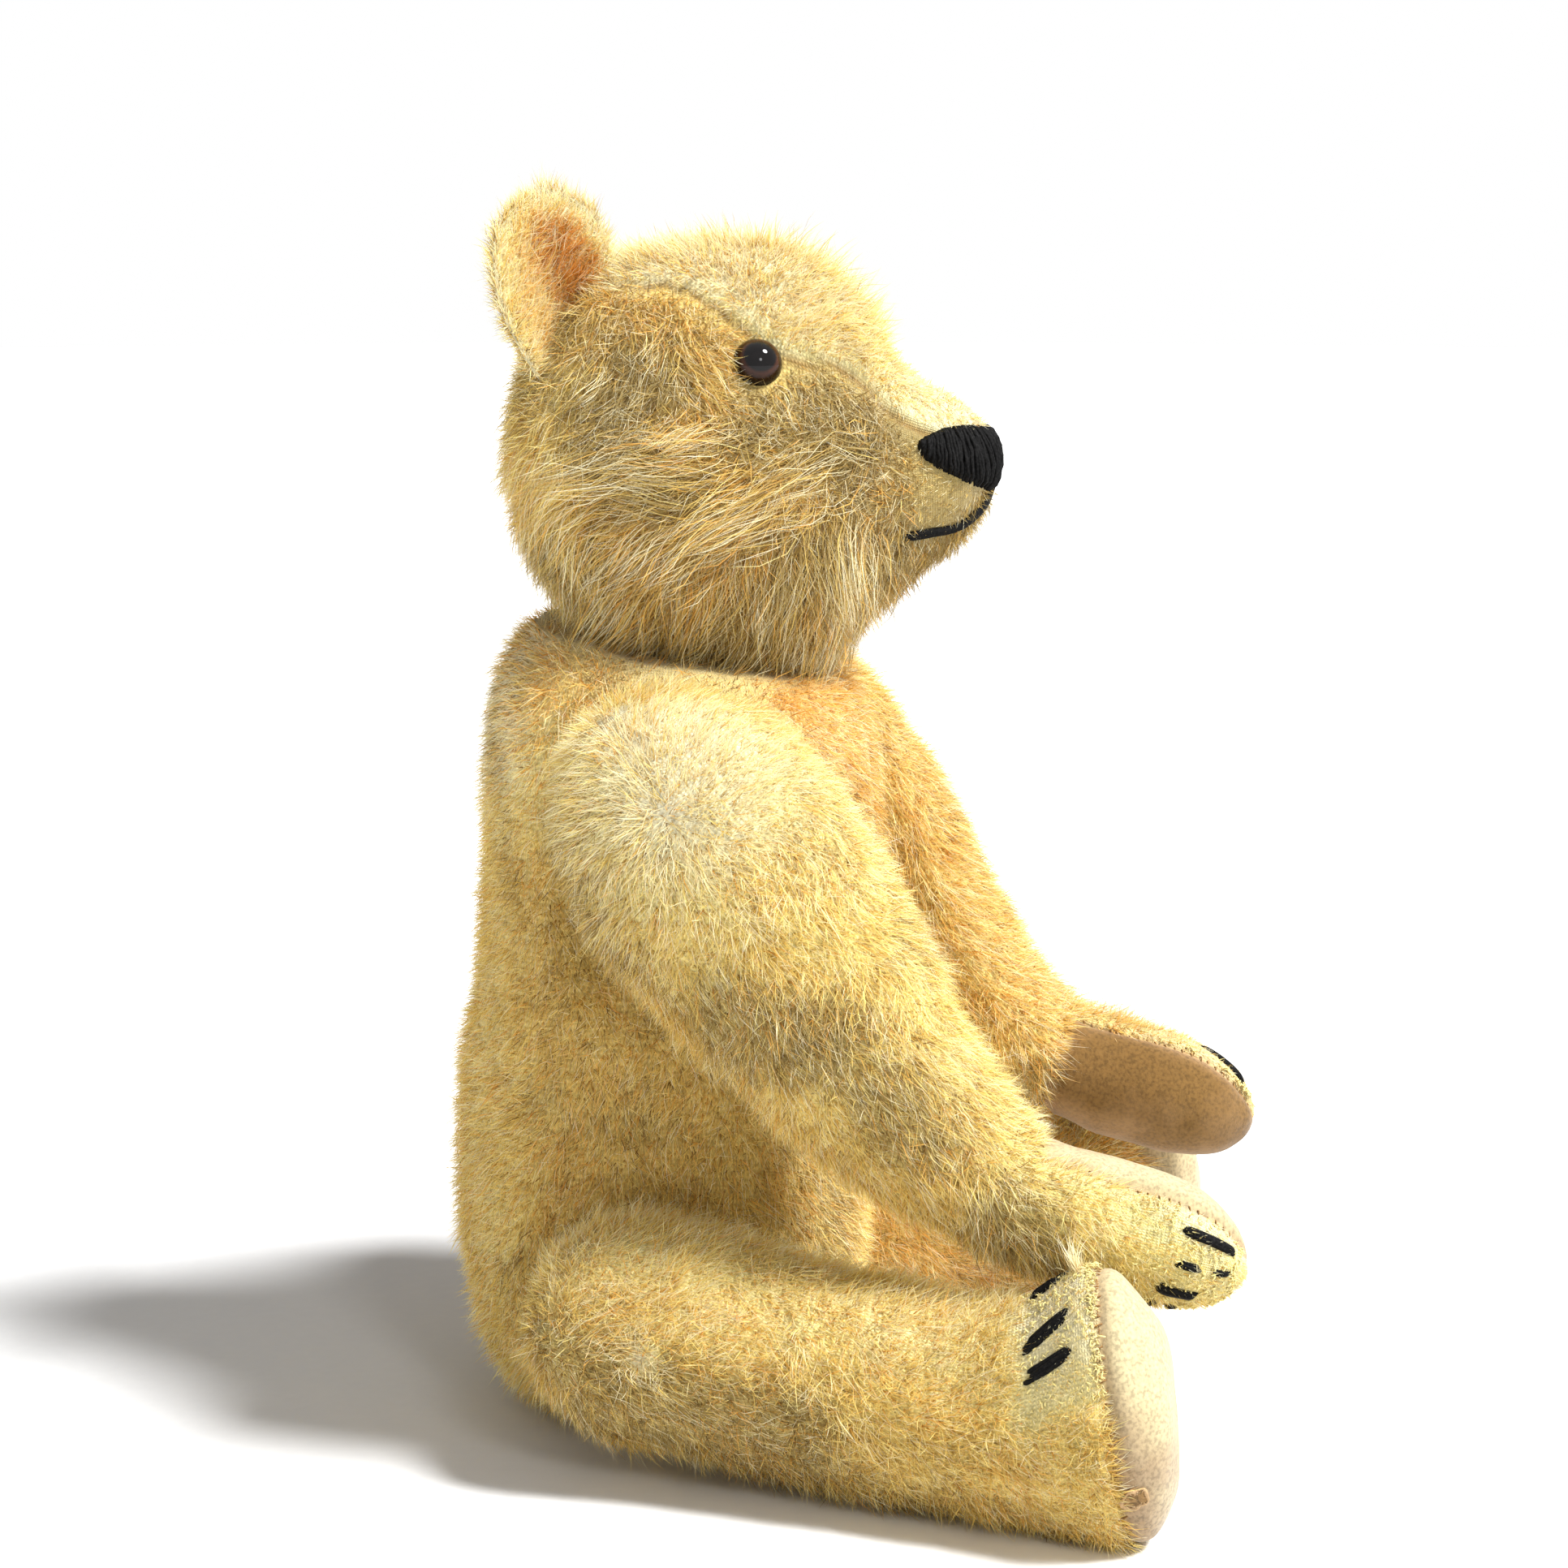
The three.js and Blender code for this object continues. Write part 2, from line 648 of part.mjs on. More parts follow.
function eyeSolid(side, grow) {
  const { out, centre } = eyeFrame(side);
  const ball = new THREE.SphereGeometry(EYE_RADIUS + grow, 12, 8).rotateX(Math.PI / 2);
  const place = centre.toArray();
  const shank = new THREE.CylinderGeometry(SHANK_RADIUS + grow, SHANK_RADIUS + grow, 1, 6);
  shank.scale(1, EYE_RADIUS + SHANK_LENGTH + grow, 1).rotateX(Math.PI / 2);
  shank.translate(0, 0, -(EYE_RADIUS + SHANK_LENGTH + grow) / 2);
  return placed(ball, place, toward(out)).add(placed(shank, place, toward(out)));
}

// One ear: a cupped half round whose hollow faces forward and out, cut to sit on the head
function earSolid(side) {
  const mirror = new THREE.Vector3(-side, 1, 1);
  const base = new THREE.Vector3(...EAR_BASE).normalize();
  const rise = new THREE.Vector3(...EAR_RISE);
  rise.addScaledVector(base, -rise.dot(base)).normalize();
  const back = new THREE.Vector3().crossVectors(rise, base).normalize();
  if (back.y < 0) back.negate();
  const sphere = new THREE.SphereGeometry(1, 12, 8);
  const position = sphere.attributes.position;
  const root = head.surface(EAR_ROOT[0], -radians(EAR_ROOT[1]));
  for (let i = 0; i < position.count; i++) {
    const p = new THREE.Vector3().fromBufferAttribute(position, i);
    const height = (EAR_HEIGHT * (p.y + EAR_FOOT)) / (1 + EAR_FOOT);
    const bow = EAR_CUP * (1 - p.x * p.x) * (1 - EAR_FOOT * p.y);
    const flesh = (EAR_THICKNESS / 2) * p.z;
    const point = root.clone().addScaledVector(base, (EAR_WIDTH / 2) * p.x);
    point.addScaledVector(rise, height).addScaledVector(back, bow + flesh - EAR_CUP / 2);
    point.multiply(mirror);
    position.setXYZ(i, point.x, point.y, point.z);
  }
  return solidOf(sphere).subtract(head.skin(...HEAD_GRID, GAP));
}

// The nose: a shield of satin stitches over the muzzle's end. Each row is across and up, on one side,
// and the shield is cut from the muzzle between these two distances in front of the neck.
const NOSE_BACK = 31;
const NOSE_FRONT = 53;
const NOSE_OUTLINE = [
  [0, 37],
  [7.5, 36.4],
  [10.8, 34.4],
  [5.6, 29.2],
  [1.4, 26.2],
];

function noseSolid() {
  const half = NOSE_OUTLINE.map(([x, z]) => new THREE.Vector2(x * headScale, z * headScale));
  const other = half
    .slice(1)
    .reverse()
    .map((p) => new THREE.Vector2(-p.x, p.y));
  const shield = new THREE.Shape([...half, ...other]);
  const depth = (NOSE_FRONT - NOSE_BACK) * headScale;
  const prism = new THREE.ExtrudeGeometry(shield, { depth, bevelEnabled: false });
  prism.rotateX(Math.PI / 2).translate(0, -NOSE_BACK * headScale, 0);
  const outer = head.skin(...HEAD_GRID, GAP + NOSE_THICKNESS);
  return outer.subtract(head.skin(...HEAD_GRID, GAP)).intersect(solidOf(prism));
}

// The mouth: a short stitch down from the nose and one to each side
const MOUTH_DROP = [
  [0.92, 180],
  [0.9, 180],
];
const MOUTH_SIDE = [
  [0.9, 180],
  [0.85, 146],
  [0.76, 129],
  [0.69, 120],
];

function mouthSolid() {
  const onHead = (places, side) => places.map(([v, angle]) => [v, side * radians(angle)]);
  const line = (places, side) => threadOn(head, onHead(places, side), MOUTH_THREAD_RADIUS);
  return line(MOUTH_DROP, 1).add(line(MOUTH_SIDE, 1)).add(line(MOUTH_SIDE, -1));
}

function headMeshes() {
  let cover = coverShell(head, HEAD_GRID).subtract(discSeat(NECK_DISC_RADIUS, neckAxis));
  let filling = stuffingOf(head, HEAD_GRID).subtract(pocket(NECK_DISC_RADIUS, PIN_EYE_END, neckAxis));
  const meshes = [];
  for (const [label, side] of SIDES) {
    const seat = eyeSolid(side, GAP);
    cover = cover.subtract(seat);
    filling = filling.subtract(seat);
    meshes.push(meshOf(`eye_${label}`, eyeSolid(side, 0), eyeGlass));
    meshes.push(meshOf(`ear_${label}`, earSolid(side), mohair));
  }
  return [
    meshOf("head_cover", cover, mohair),
    meshOf("head_stuffing", filling, woodWool),
    meshOf("nose_stitching", noseSolid(), blackThread),
    meshOf("mouth_stitching", mouthSolid(), blackThread),
    ...meshes,
  ];
}

// The whole bear
const bear = new THREE.Group();
bear.name = "teddy_bear";
bear.add(...torsoMeshes());

const neckHardware = jointHardware("neck", NECK_DISC_RADIUS, neckAxis);
const headGroup = new THREE.Group();
headGroup.position.copy(neck);
headGroup.quaternion.setFromAxisAngle(neckAxis, radians(HEAD_TURN));
headGroup.add(...headMeshes(), ...neckHardware.limb);
const neckGroup = new THREE.Group();
neckGroup.position.copy(neck);
neckGroup.add(...neckHardware.torso);
bear.add(headGroup, neckGroup);

for (const [label, side] of SIDES) {
  for (const parts of [armParts(label, side), legParts(label, side)]) {
    const joint = new THREE.Group();
    joint.position.copy(parts.place);
    joint.add(...parts.limb, ...parts.torso);
    bear.add(joint);
  }
}

export default bear;
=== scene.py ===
"""A worn, jointed mohair teddy bear: sewn covers, pile, felt pads, stitching and glass eyes over its frame."""

import math
from functools import partial

import bmesh
import bpy
import numpy as np
from mathutils import Matrix, Vector
from mathutils.bvhtree import BVHTree
from mathutils.kdtree import KDTree


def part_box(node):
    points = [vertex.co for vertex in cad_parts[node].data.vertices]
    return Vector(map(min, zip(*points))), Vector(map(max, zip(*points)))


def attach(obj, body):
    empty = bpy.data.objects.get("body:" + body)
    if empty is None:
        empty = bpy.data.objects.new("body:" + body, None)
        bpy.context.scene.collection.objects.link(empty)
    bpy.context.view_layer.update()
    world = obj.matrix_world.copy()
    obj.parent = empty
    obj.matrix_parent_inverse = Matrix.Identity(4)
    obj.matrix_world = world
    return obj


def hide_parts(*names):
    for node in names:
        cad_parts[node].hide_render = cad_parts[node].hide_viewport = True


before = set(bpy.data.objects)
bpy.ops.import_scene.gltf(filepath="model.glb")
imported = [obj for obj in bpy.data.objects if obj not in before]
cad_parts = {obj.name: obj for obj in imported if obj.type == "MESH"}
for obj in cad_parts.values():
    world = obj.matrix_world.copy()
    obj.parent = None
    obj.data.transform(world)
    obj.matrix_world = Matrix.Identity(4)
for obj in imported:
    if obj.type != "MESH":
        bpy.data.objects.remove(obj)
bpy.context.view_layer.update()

bl_info = {
    "name": "Worn Mohair Teddy Bear",
    "version": (1, 0, 0),
    "blender": (4, 5, 0),
    "location": "View3D > Sidebar > Teddy Bear",
    "description": "Sews, stuffs and finishes a worn jointed mohair teddy bear round its frame",
    "category": "Object",
}

MM = 0.001
SIDES = (("right", -1), ("left", 1))


def middle_of(node):
    """Middle of a node of the frame"""
    low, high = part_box(node)
    return np.array((low + high) / 2)


# Joints: the washers' middles, the limbs' planes and how the head and arms are turned
SHOULDER = middle_of("shoulder_left_washer")
HIP = middle_of("hip_left_washer")
JOINT_PLANE = 32.3 * MM
NECK_TILT = math.radians(10)
HEAD_TURN = math.radians(7.5)
ARM_DROP = math.radians(2.3)
NECK_AXIS = np.array([0, -math.sin(NECK_TILT), math.cos(NECK_TILT)])
NECK = np.array([0, -4.4, 126]) * MM
JOINT_GAP = 0.6 * MM

# Rings of each sewn part in millimetres, from its closed tail end to its closed nose end: ridge along,
# ridge up, keel along, keel up, half width, and how far the ring's middle stands out
HEAD_RINGS = [
    [-28.5, 33, -28.5, 33, 0, 0],
    [-28.3, 39, -28.3, 27, 9, 0],
    [-26.5, 47, -26.8, 18.5, 18, 0],
    [-20.5, 56.5, -21.5, 8, 24.5, 0],
    [-11, 62.8, -13.5, 0.5, 28, 0],
    [1, 65.2, -2, -5, 29, 0],
    [12, 64.2, 9, -7, 28, 0],
    [21, 60, 18, -4, 25, 0],
    [27, 53.5, 24.5, 2.5, 20.5, 0],
    [30.5, 47, 30.5, 8, 16.5, 0],
    [36, 42.5, 36.5, 13, 14, 0],
    [42, 39.2, 42, 17, 12, 0],
    [46, 36, 45.6, 22, 9, 0],
    [47.8, 33, 47.6, 26.5, 5, 0],
    [48.3, 30, 48.3, 30, 0, 0],
]
TORSO_RINGS = [
    [-2, 0, -2, 0, 0, 0],
    [-2, 13, -2, -12, 14, 0],
    [-0.5, 22, -0.5, -20, 23, 0],
    [8, 29.5, 7, -27, 35, 0],
    [22, 33.5, 20, -30.5, 39, 0],
    [38, 35, 37, -31.8, 38, 0],
    [55, 34.5, 55, -32.5, 36, 0],
    [72, 31.8, 73, -33, 36, 0],
    [88, 30, 90, -33.2, 38, 0],
    [104, 29.8, 105, -32.6, 39.5, 0],
    [119, 28.5, 117, -29.5, 37, 0],
    [129.5, 23, 125, -24, 27, 0],
    [136, 14, 131, -18, 18, 0],
    [135, -4.4, 135, -4.4, 0, 0],
]
ARM_RINGS = [
    [-9.7, 13.3, -9.7, 13.3, 0, 11],
    [-5.5, 15.6, -13.2, 9.9, 7.5, 11],
    [1.5, 16.4, -16.2, 3.2, 12.5, 11],
    [10, 14.2, -16, -7.5, 15, 11],
    [19, 9.2, -10.8, -20, 15.5, 11],
    [27, 0.5, -1.8, -30.2, 15.5, 11.3],
    [34, -9.5, 9.5, -40, 15, 11.8],
    [40.5, -21, 21, -50, 14.2, 12],
    [46, -31, 32.5, -57.5, 13, 12],
    [52.5, -41, 44, -63.5, 11.8, 11.8],
    [60, -49, 55.5, -68, 11, 11.3],
    [71, -52, 67, -72, 10.8, 11],
    [81, -54.3, 78.5, -74.3, 10.5, 11],
    [88.5, -58.5, 86.5, -74, 8.8, 11],
    [92.5, -63.5, 91.2, -71.3, 5, 11],
    [93.8, -67.7, 93.8, -67.7, 0, 11],
]
LEG_RINGS = [
    [-16.2, 1.4, -16.2, 1.4, 0, 11.5],
    [-15.6, 6.5, -16, -4, 7, 11.5],
    [-12, 12, -13.2, -10, 12.5, 11.5],
    [-4.5, 16, -6.5, -15.2, 15.8, 11.5],
    [6, 16.2, 4.5, -18.3, 16.5, 11.8],
    [18, 14, 16.5, -20, 16.5, 13.2],
    [30, 11.5, 28.5, -21, 16.3, 16],
    [42, 9.8, 40.5, -21.8, 15.8, 19.5],
    [53, 9, 52, -22.5, 15.2, 23],
    [61, 11.2, 62, -23.2, 14.8, 26],
    [67, 15.6, 71, -23.5, 14.6, 29],
    [71.5, 18.4, 77.5, -23.4, 14.3, 31],
    [76, 17.4, 81.5, -21.5, 13, 32],
    [80.5, 12.5, 84, -17.5, 10.5, 32.5],
    [83.2, 7, 85.2, -12, 6.5, 32.8],
    [84.8, -3, 84.8, -3, 0, 33],
]
ARM_SCALE = 135 / 136
CHEEK_FULLNESS = 0.16
CHEEK_HEIGHT = 30 * MM
CHEEK_REACH = 35 * MM
TORSO_SIDE = 32 * MM
SIDE_FLAT_RADIUS = 30 * MM
SIDE_BULGE = 0.25

# Places on the parts: stations go from 0 at the tail to 1 at the nose, and angles in degrees from the ridge
# outward. A claw is its two angles, then its start and end.
EYE_PLACE = (0.42, 55)
EYE_SAG = 2.5
EYE_SINK = 1.4 * MM
EAR_ROOT = (0.215, 31)
EAR_BASE = (-0.62, 0.5, -0.6)
EAR_RISE = (-0.42, 0.3, 0.86)
EAR_FOOT = 0.35
EAR_AHEAD = -1
EAR_WIDTH = 25 * MM
EAR_HEIGHT = 22 * MM
EAR_THICKNESS = 4 * MM
EAR_CUP = 4.5 * MM
GUSSET_SEAM = ((0.1, 22), (0.23, 26), (0.33, 33), (0.39, 46), (0.44, 56), (0.52, 52), (0.61, 50), (0.72, 56), (0.8, 62))
PAW_SEAM = 0.67
PAW_TIP = 0.93
PALM_LEAN = {"right": 55, "left": 115}
SOLE_SEAM = 0.745
PAW_CLAWS = (((24, 22), 0.82, 0.91), ((55, 55), 0.82, 0.91), ((84, 88), 0.81, 0.857), ((112, 116), 0.79, 0.835))
FOOT_CLAWS = (((58, 52), 0.612, 0.685), ((42, 32), 0.608, 0.683), ((0, -6), 0.615, 0.66), ((-17, -22), 0.655, 0.69))
MOUTH_DROP = ((0.925, 180), (0.9, 180))
MOUTH_SIDE = ((0.9, 180), (0.85, 146), (0.76, 129), (0.675, 119))
NOSE_TOP = ((0.875, 0), (0.86, 20), (0.813, 36), (0.757, 50), (0.71, 64))
NOSE_BOTTOM = ((0.925, 180), (0.897, 140), (0.863, 112), (0.79, 89), (0.752, 81), (0.717, 73), (0.708, 66))
WHORL_BACK = 2.5 * MM
MOTH_HOLE = (0.778, 121)
THIGH_SCAR = np.array([39.7, -46.5, 9.5]) * MM


class BearSizes(bpy.types.PropertyGroup):
    """Sizes of the pile, threads and seams"""

    pile_body: bpy.props.FloatProperty(
        name="Body Pile", description="Length of the short pile on the body", default=0.0033, unit="LENGTH"
    )
    pile_limb: bpy.props.FloatProperty(
        name="Limb Pile", description="Length of the pile on the arms and legs", default=0.0038, unit="LENGTH"
    )
    pile_cheek: bpy.props.FloatProperty(
        name="Cheek Pile", description="Length of the long locks on the cheeks", default=0.0095, unit="LENGTH"
    )
    pile_brow: bpy.props.FloatProperty(
        name="Brow Pile", description="Length of the upright pile on top of the head", default=0.0040, unit="LENGTH"
    )
    fibre_width: bpy.props.FloatProperty(
        name="Fibre Width", description="Width of one tuft of fibres at its root", default=0.00021, unit="LENGTH"
    )
    claw_thread: bpy.props.FloatProperty(
        name="Claw Thread", description="Radius of one strand of a claw stitch", default=0.0005, unit="LENGTH"
    )
    nose_thread: bpy.props.FloatProperty(
        name="Nose Thread", description="Radius of one satin stitch of the nose", default=0.00034, unit="LENGTH"
    )
    mouth_thread: bpy.props.FloatProperty(
        name="Mouth Thread", description="Radius of the mouth stitch", default=0.0009, unit="LENGTH"
    )
    seam_depth: bpy.props.FloatProperty(
        name="Seam Depth", description="How far a seam is drawn into the stuffing", default=0.0007, unit="LENGTH"
    )
    seam_stitch: bpy.props.FloatProperty(
        name="Seam Stitch", description="Distance between the stitches round a pad", default=0.0016, unit="LENGTH"
    )
    eye_radius: bpy.props.FloatProperty(
        name="Eye Radius", description="Radius of the glass eyes", default=0.004, unit="LENGTH"
    )
    weave: bpy.props.FloatProperty(
        name="Weave", description="Distance between the threads of the backing cloth", default=0.00062, unit="LENGTH"
    )


def colour_property(name, description, default):
    """A colour that can be picked in the panel"""
    return bpy.props.FloatVectorProperty(
        name=name, description=description, default=default, subtype="COLOR", size=3, min=0, max=1
    )


class BearColours(bpy.types.PropertyGroup):
    """Colours of the mohair, felt, thread and glass, as seen in plain light"""

    umber: colour_property("Umber", "Darkest roots and worn edges", (0.48, 0.36, 0.18))
    soiled: colour_property("Soiled", "Olive grey soiling", (0.67, 0.60, 0.40))
    dull_gold: colour_property("Dull Gold", "Faded gold in the shade", (0.90, 0.78, 0.45))
    honey: colour_property("Honey", "Honey gold of the cloth", (0.97, 0.885, 0.54))
    # Upper sides come toward this colour partly through painted light
    blond: colour_property("Blond", "Light honey of the upper sides", (1.0, 0.96, 0.68))
    cream: colour_property("Cream", "Bleached pile", (1.0, 0.98, 0.82))
    fibre: colour_property("Fibre", "Single bright fibres", (1.0, 0.99, 0.90))
    orange: colour_property("Orange", "Unfaded gold on the chest and inside the ears", (0.99, 0.82, 0.46))
    # Also the painted shade deep in the ear's fold
    rust: colour_property("Rust", "Deepest unfaded gold", (0.86, 0.60, 0.28))
    felt: colour_property("Felt", "Wool felt of the pads", (0.79, 0.73, 0.57))
    # Felt of the far paw pad, darkened as painted shade
    felt_painted_shade: colour_property("Shaded Felt", "Felt kept from the light", (0.48, 0.36, 0.19))
    felt_fleck: colour_property("Felt Fleck", "Flecks and soiling in the felt", (0.66, 0.53, 0.38))
    stitch: colour_property("Seam Stitch", "Thread round the pads", (0.55, 0.42, 0.26))
    thread: colour_property("Black Thread", "Embroidery thread", (0.035, 0.033, 0.032))
    iris: colour_property("Iris", "Brown ring of the glass eyes", (0.24, 0.12, 0.055))
    rubbed: colour_property("Rubbed Cloth", "Backing cloth where the pile is gone", (0.60, 0.34, 0.24))
    sole_dirt: colour_property("Sole Dirt", "Grey dirt low on the pads", (0.60, 0.53, 0.43))
    cropped: colour_property("Cropped Pile", "Curly pile round the claws and pads", (0.93, 0.87, 0.60))
    frayed: colour_property("Frayed Felt", "Rim of the moth hole", (0.70, 0.58, 0.43))
    # Darker than the wood wool, as painted shade in the moth hole
    straw: colour_property("Straw", "Stuffing seen through the moth hole", (0.62, 0.48, 0.29))
    wood_wool: colour_property("Wood Wool", "Stuffing of the whole bear", (0.80, 0.68, 0.45))
    hardboard: colour_property("Hardboard", "Discs of the joints", (0.50, 0.37, 0.25))
    steel: colour_property("Steel", "Washers and pins of the joints", (0.62, 0.61, 0.59))


def linear(colour):
    """The colour as light, from how it is seen"""
    c = np.asarray(colour, float)
    return np.where(c <= 0.04045, c / 12.92, ((c + 0.055) / 1.055) ** 2.4)


def smooth(low, high, x):
    """From 0 at low to 1 at high, with soft ends"""
    t = np.clip((np.asarray(x, float) - low) / (high - low), 0, 1)
    return t * t * (3 - 2 * t)


def bell(x, width):
    """1 at zero, falling off over the width on both sides"""
    return np.exp(-((np.asarray(x) / width) ** 2))


def unit(vectors):
    """The vectors at a length of 1"""
    length = np.linalg.norm(vectors, axis=-1, keepdims=True)
    return vectors / np.maximum(length, 1e-12)


def dot(a, b):
    """Dot product of each pair of vectors"""
    return (a * b).sum(-1)


def scramble(i, j, k, seed):
    """A number from 0 to 1 for each lattice point"""
    n = (i * 374761393 + j * 668265263 + k * 974634777 + seed * 362437) & 0xFFFFFFFF
    n = ((n ^ (n >> 13)) * 1274126177) & 0xFFFFFFFF
    return ((n ^ (n >> 16)) & 0xFFFF) / 65535


def mottle(points, size, seed):
    """Smooth blotches from 0 to 1, about size across"""
    p = points / size
    cell = np.floor(p).astype(np.int64)
    f = p - cell
    f = f * f * (3 - 2 * f)
    total = np.zeros(points.shape[:-1])
    for corner in range(8):
        step = [corner & 1, corner >> 1 & 1, corner >> 2 & 1]
        weight = np.prod(np.where(np.array(step) == 1, f, 1 - f), axis=-1)
        total += weight * scramble(*(cell[..., a] + step[a] for a in range(3)), seed)
    return total


def turned(points, axis, angle):
    """The points turned about an axis through the origin"""
    return points @ np.array(Matrix.Rotation(angle, 3, Vector(axis))).T


# Lofted parts


def curve_through(rows, t):
    """The point at share t of a curve that passes through all rows"""
    last = len(rows) - 1
    place = np.clip(t, 0, 1) * last
    i = np.floor(place).astype(int)
    w = (place - i)[..., None]
    before, start, end, after = (rows[np.clip(i + d, 0, last)] for d in (-1, 0, 1, 2))
    v0, v1 = (end - before) / 2, (after - start) / 2
    return (2 * start - 2 * end + v0 + v1) * w**3 + (3 * end - 3 * start - 2 * v0 - v1) * w**2 + v0 * w + start


class Loft:
    """A sewn part: rings spanned between a ridge and a keel line. place gives the point in the frame."""

    def __init__(self, rings, place, scale=1.0):
        self.rings = np.array(rings, float) * MM
        self.rings[:, :4] *= scale
        self.place = place

    def at(self, v, angle):
        v, angle = np.broadcast_arrays(np.asarray(v, float), np.asarray(angle, float))
        ring = curve_through(self.rings, v)
        middle = (ring[..., 0:2] + ring[..., 2:4]) / 2
        rise = (ring[..., 0:2] - ring[..., 2:4]) / 2 * np.cos(angle)[..., None]
        out = ring[..., 5] + np.maximum(ring[..., 4], 0) * np.sin(angle)
        flat = middle + rise
        return self.place(flat[..., 0], flat[..., 1], out)

    def core(self, v):
        ring = curve_through(self.rings, np.asarray(v, float))
        middle = (ring[..., 0:2] + ring[..., 2:4]) / 2
        return self.place(middle[..., 0], middle[..., 1], ring[..., 5])

    def facing(self, v, angle):
        step = 0.01
        along = self.at(v + step, angle) - self.at(v - step, angle)
        around = self.at(v, angle + step) - self.at(v, angle - step)
        out = unit(np.cross(along, around))
        return out * np.sign(dot(out, self.at(v, angle) - self.core(v)))[..., None]


def to_head(points):
    """From the frame to the head's own place: out, back and up from the neck"""
    return turned(points - NECK, NECK_AXIS, -HEAD_TURN)


def from_head(points):
    """From the head's own place back to the frame"""
    return turned(points, NECK_AXIS, HEAD_TURN) + NECK


def head_place(along, up, out):
    """Places on the head, narrower toward the crown and level over the neck joint"""
    p = np.stack([out, -along, up], -1)
    height = (p[..., 2] - CHEEK_HEIGHT) / CHEEK_REACH
    p[..., 0] *= 1 - CHEEK_FULLNESS * np.maximum(height, 0)
    below = JOINT_GAP / 2 - p @ NECK_AXIS
    return from_head(p + np.maximum(below, 0)[..., None] * NECK_AXIS)


def torso_place(along, up, out):
    """Places on the torso, flat where the limbs lie against it and level under the neck"""
    p = np.stack([out, up, np.maximum(along, 0)], -1)
    reach = [np.hypot(p[..., 1] - c[1], p[..., 2] - c[2]) for c in (SHOULDER, HIP)]
    limit = TORSO_SIDE + SIDE_BULGE * np.maximum(np.minimum(*reach) - SIDE_FLAT_RADIUS, 0)
    p[..., 0] = np.clip(p[..., 0], -limit, limit)
    above = (p - NECK) @ NECK_AXIS + JOINT_GAP / 2
    return p - np.maximum(above, 0)[..., None] * NECK_AXIS


def limb_place(side, joint, drop):
    """Places on an arm or a leg that hangs from its joint, flat against the torso"""
    origin = np.array([side * JOINT_PLANE, joint[1], joint[2]])

    def place(along, up, out):
        p = turned(np.stack([side * out, -along, up], -1), (1, 0, 0), drop)
        p[..., 0] = side * np.maximum(side * p[..., 0], JOINT_GAP / 2)
        return p + origin

    return place


HEAD = Loft(HEAD_RINGS, head_place)
TORSO = Loft(TORSO_RINGS, torso_place)
ARMS = {label: Loft(ARM_RINGS, limb_place(side, SHOULDER, ARM_DROP), ARM_SCALE) for label, side in SIDES}
LEGS = {label: Loft(LEG_RINGS, limb_place(side, HIP, 0)) for label, side in SIDES}


class Site:
    """Places on a cloth: points, normals, the way to the nose, and where each is on the loft"""

    def __init__(self, point, normal, along, v, angle):
        self.point, self.normal, self.along, self.v, self.angle = point, normal, along, v, angle


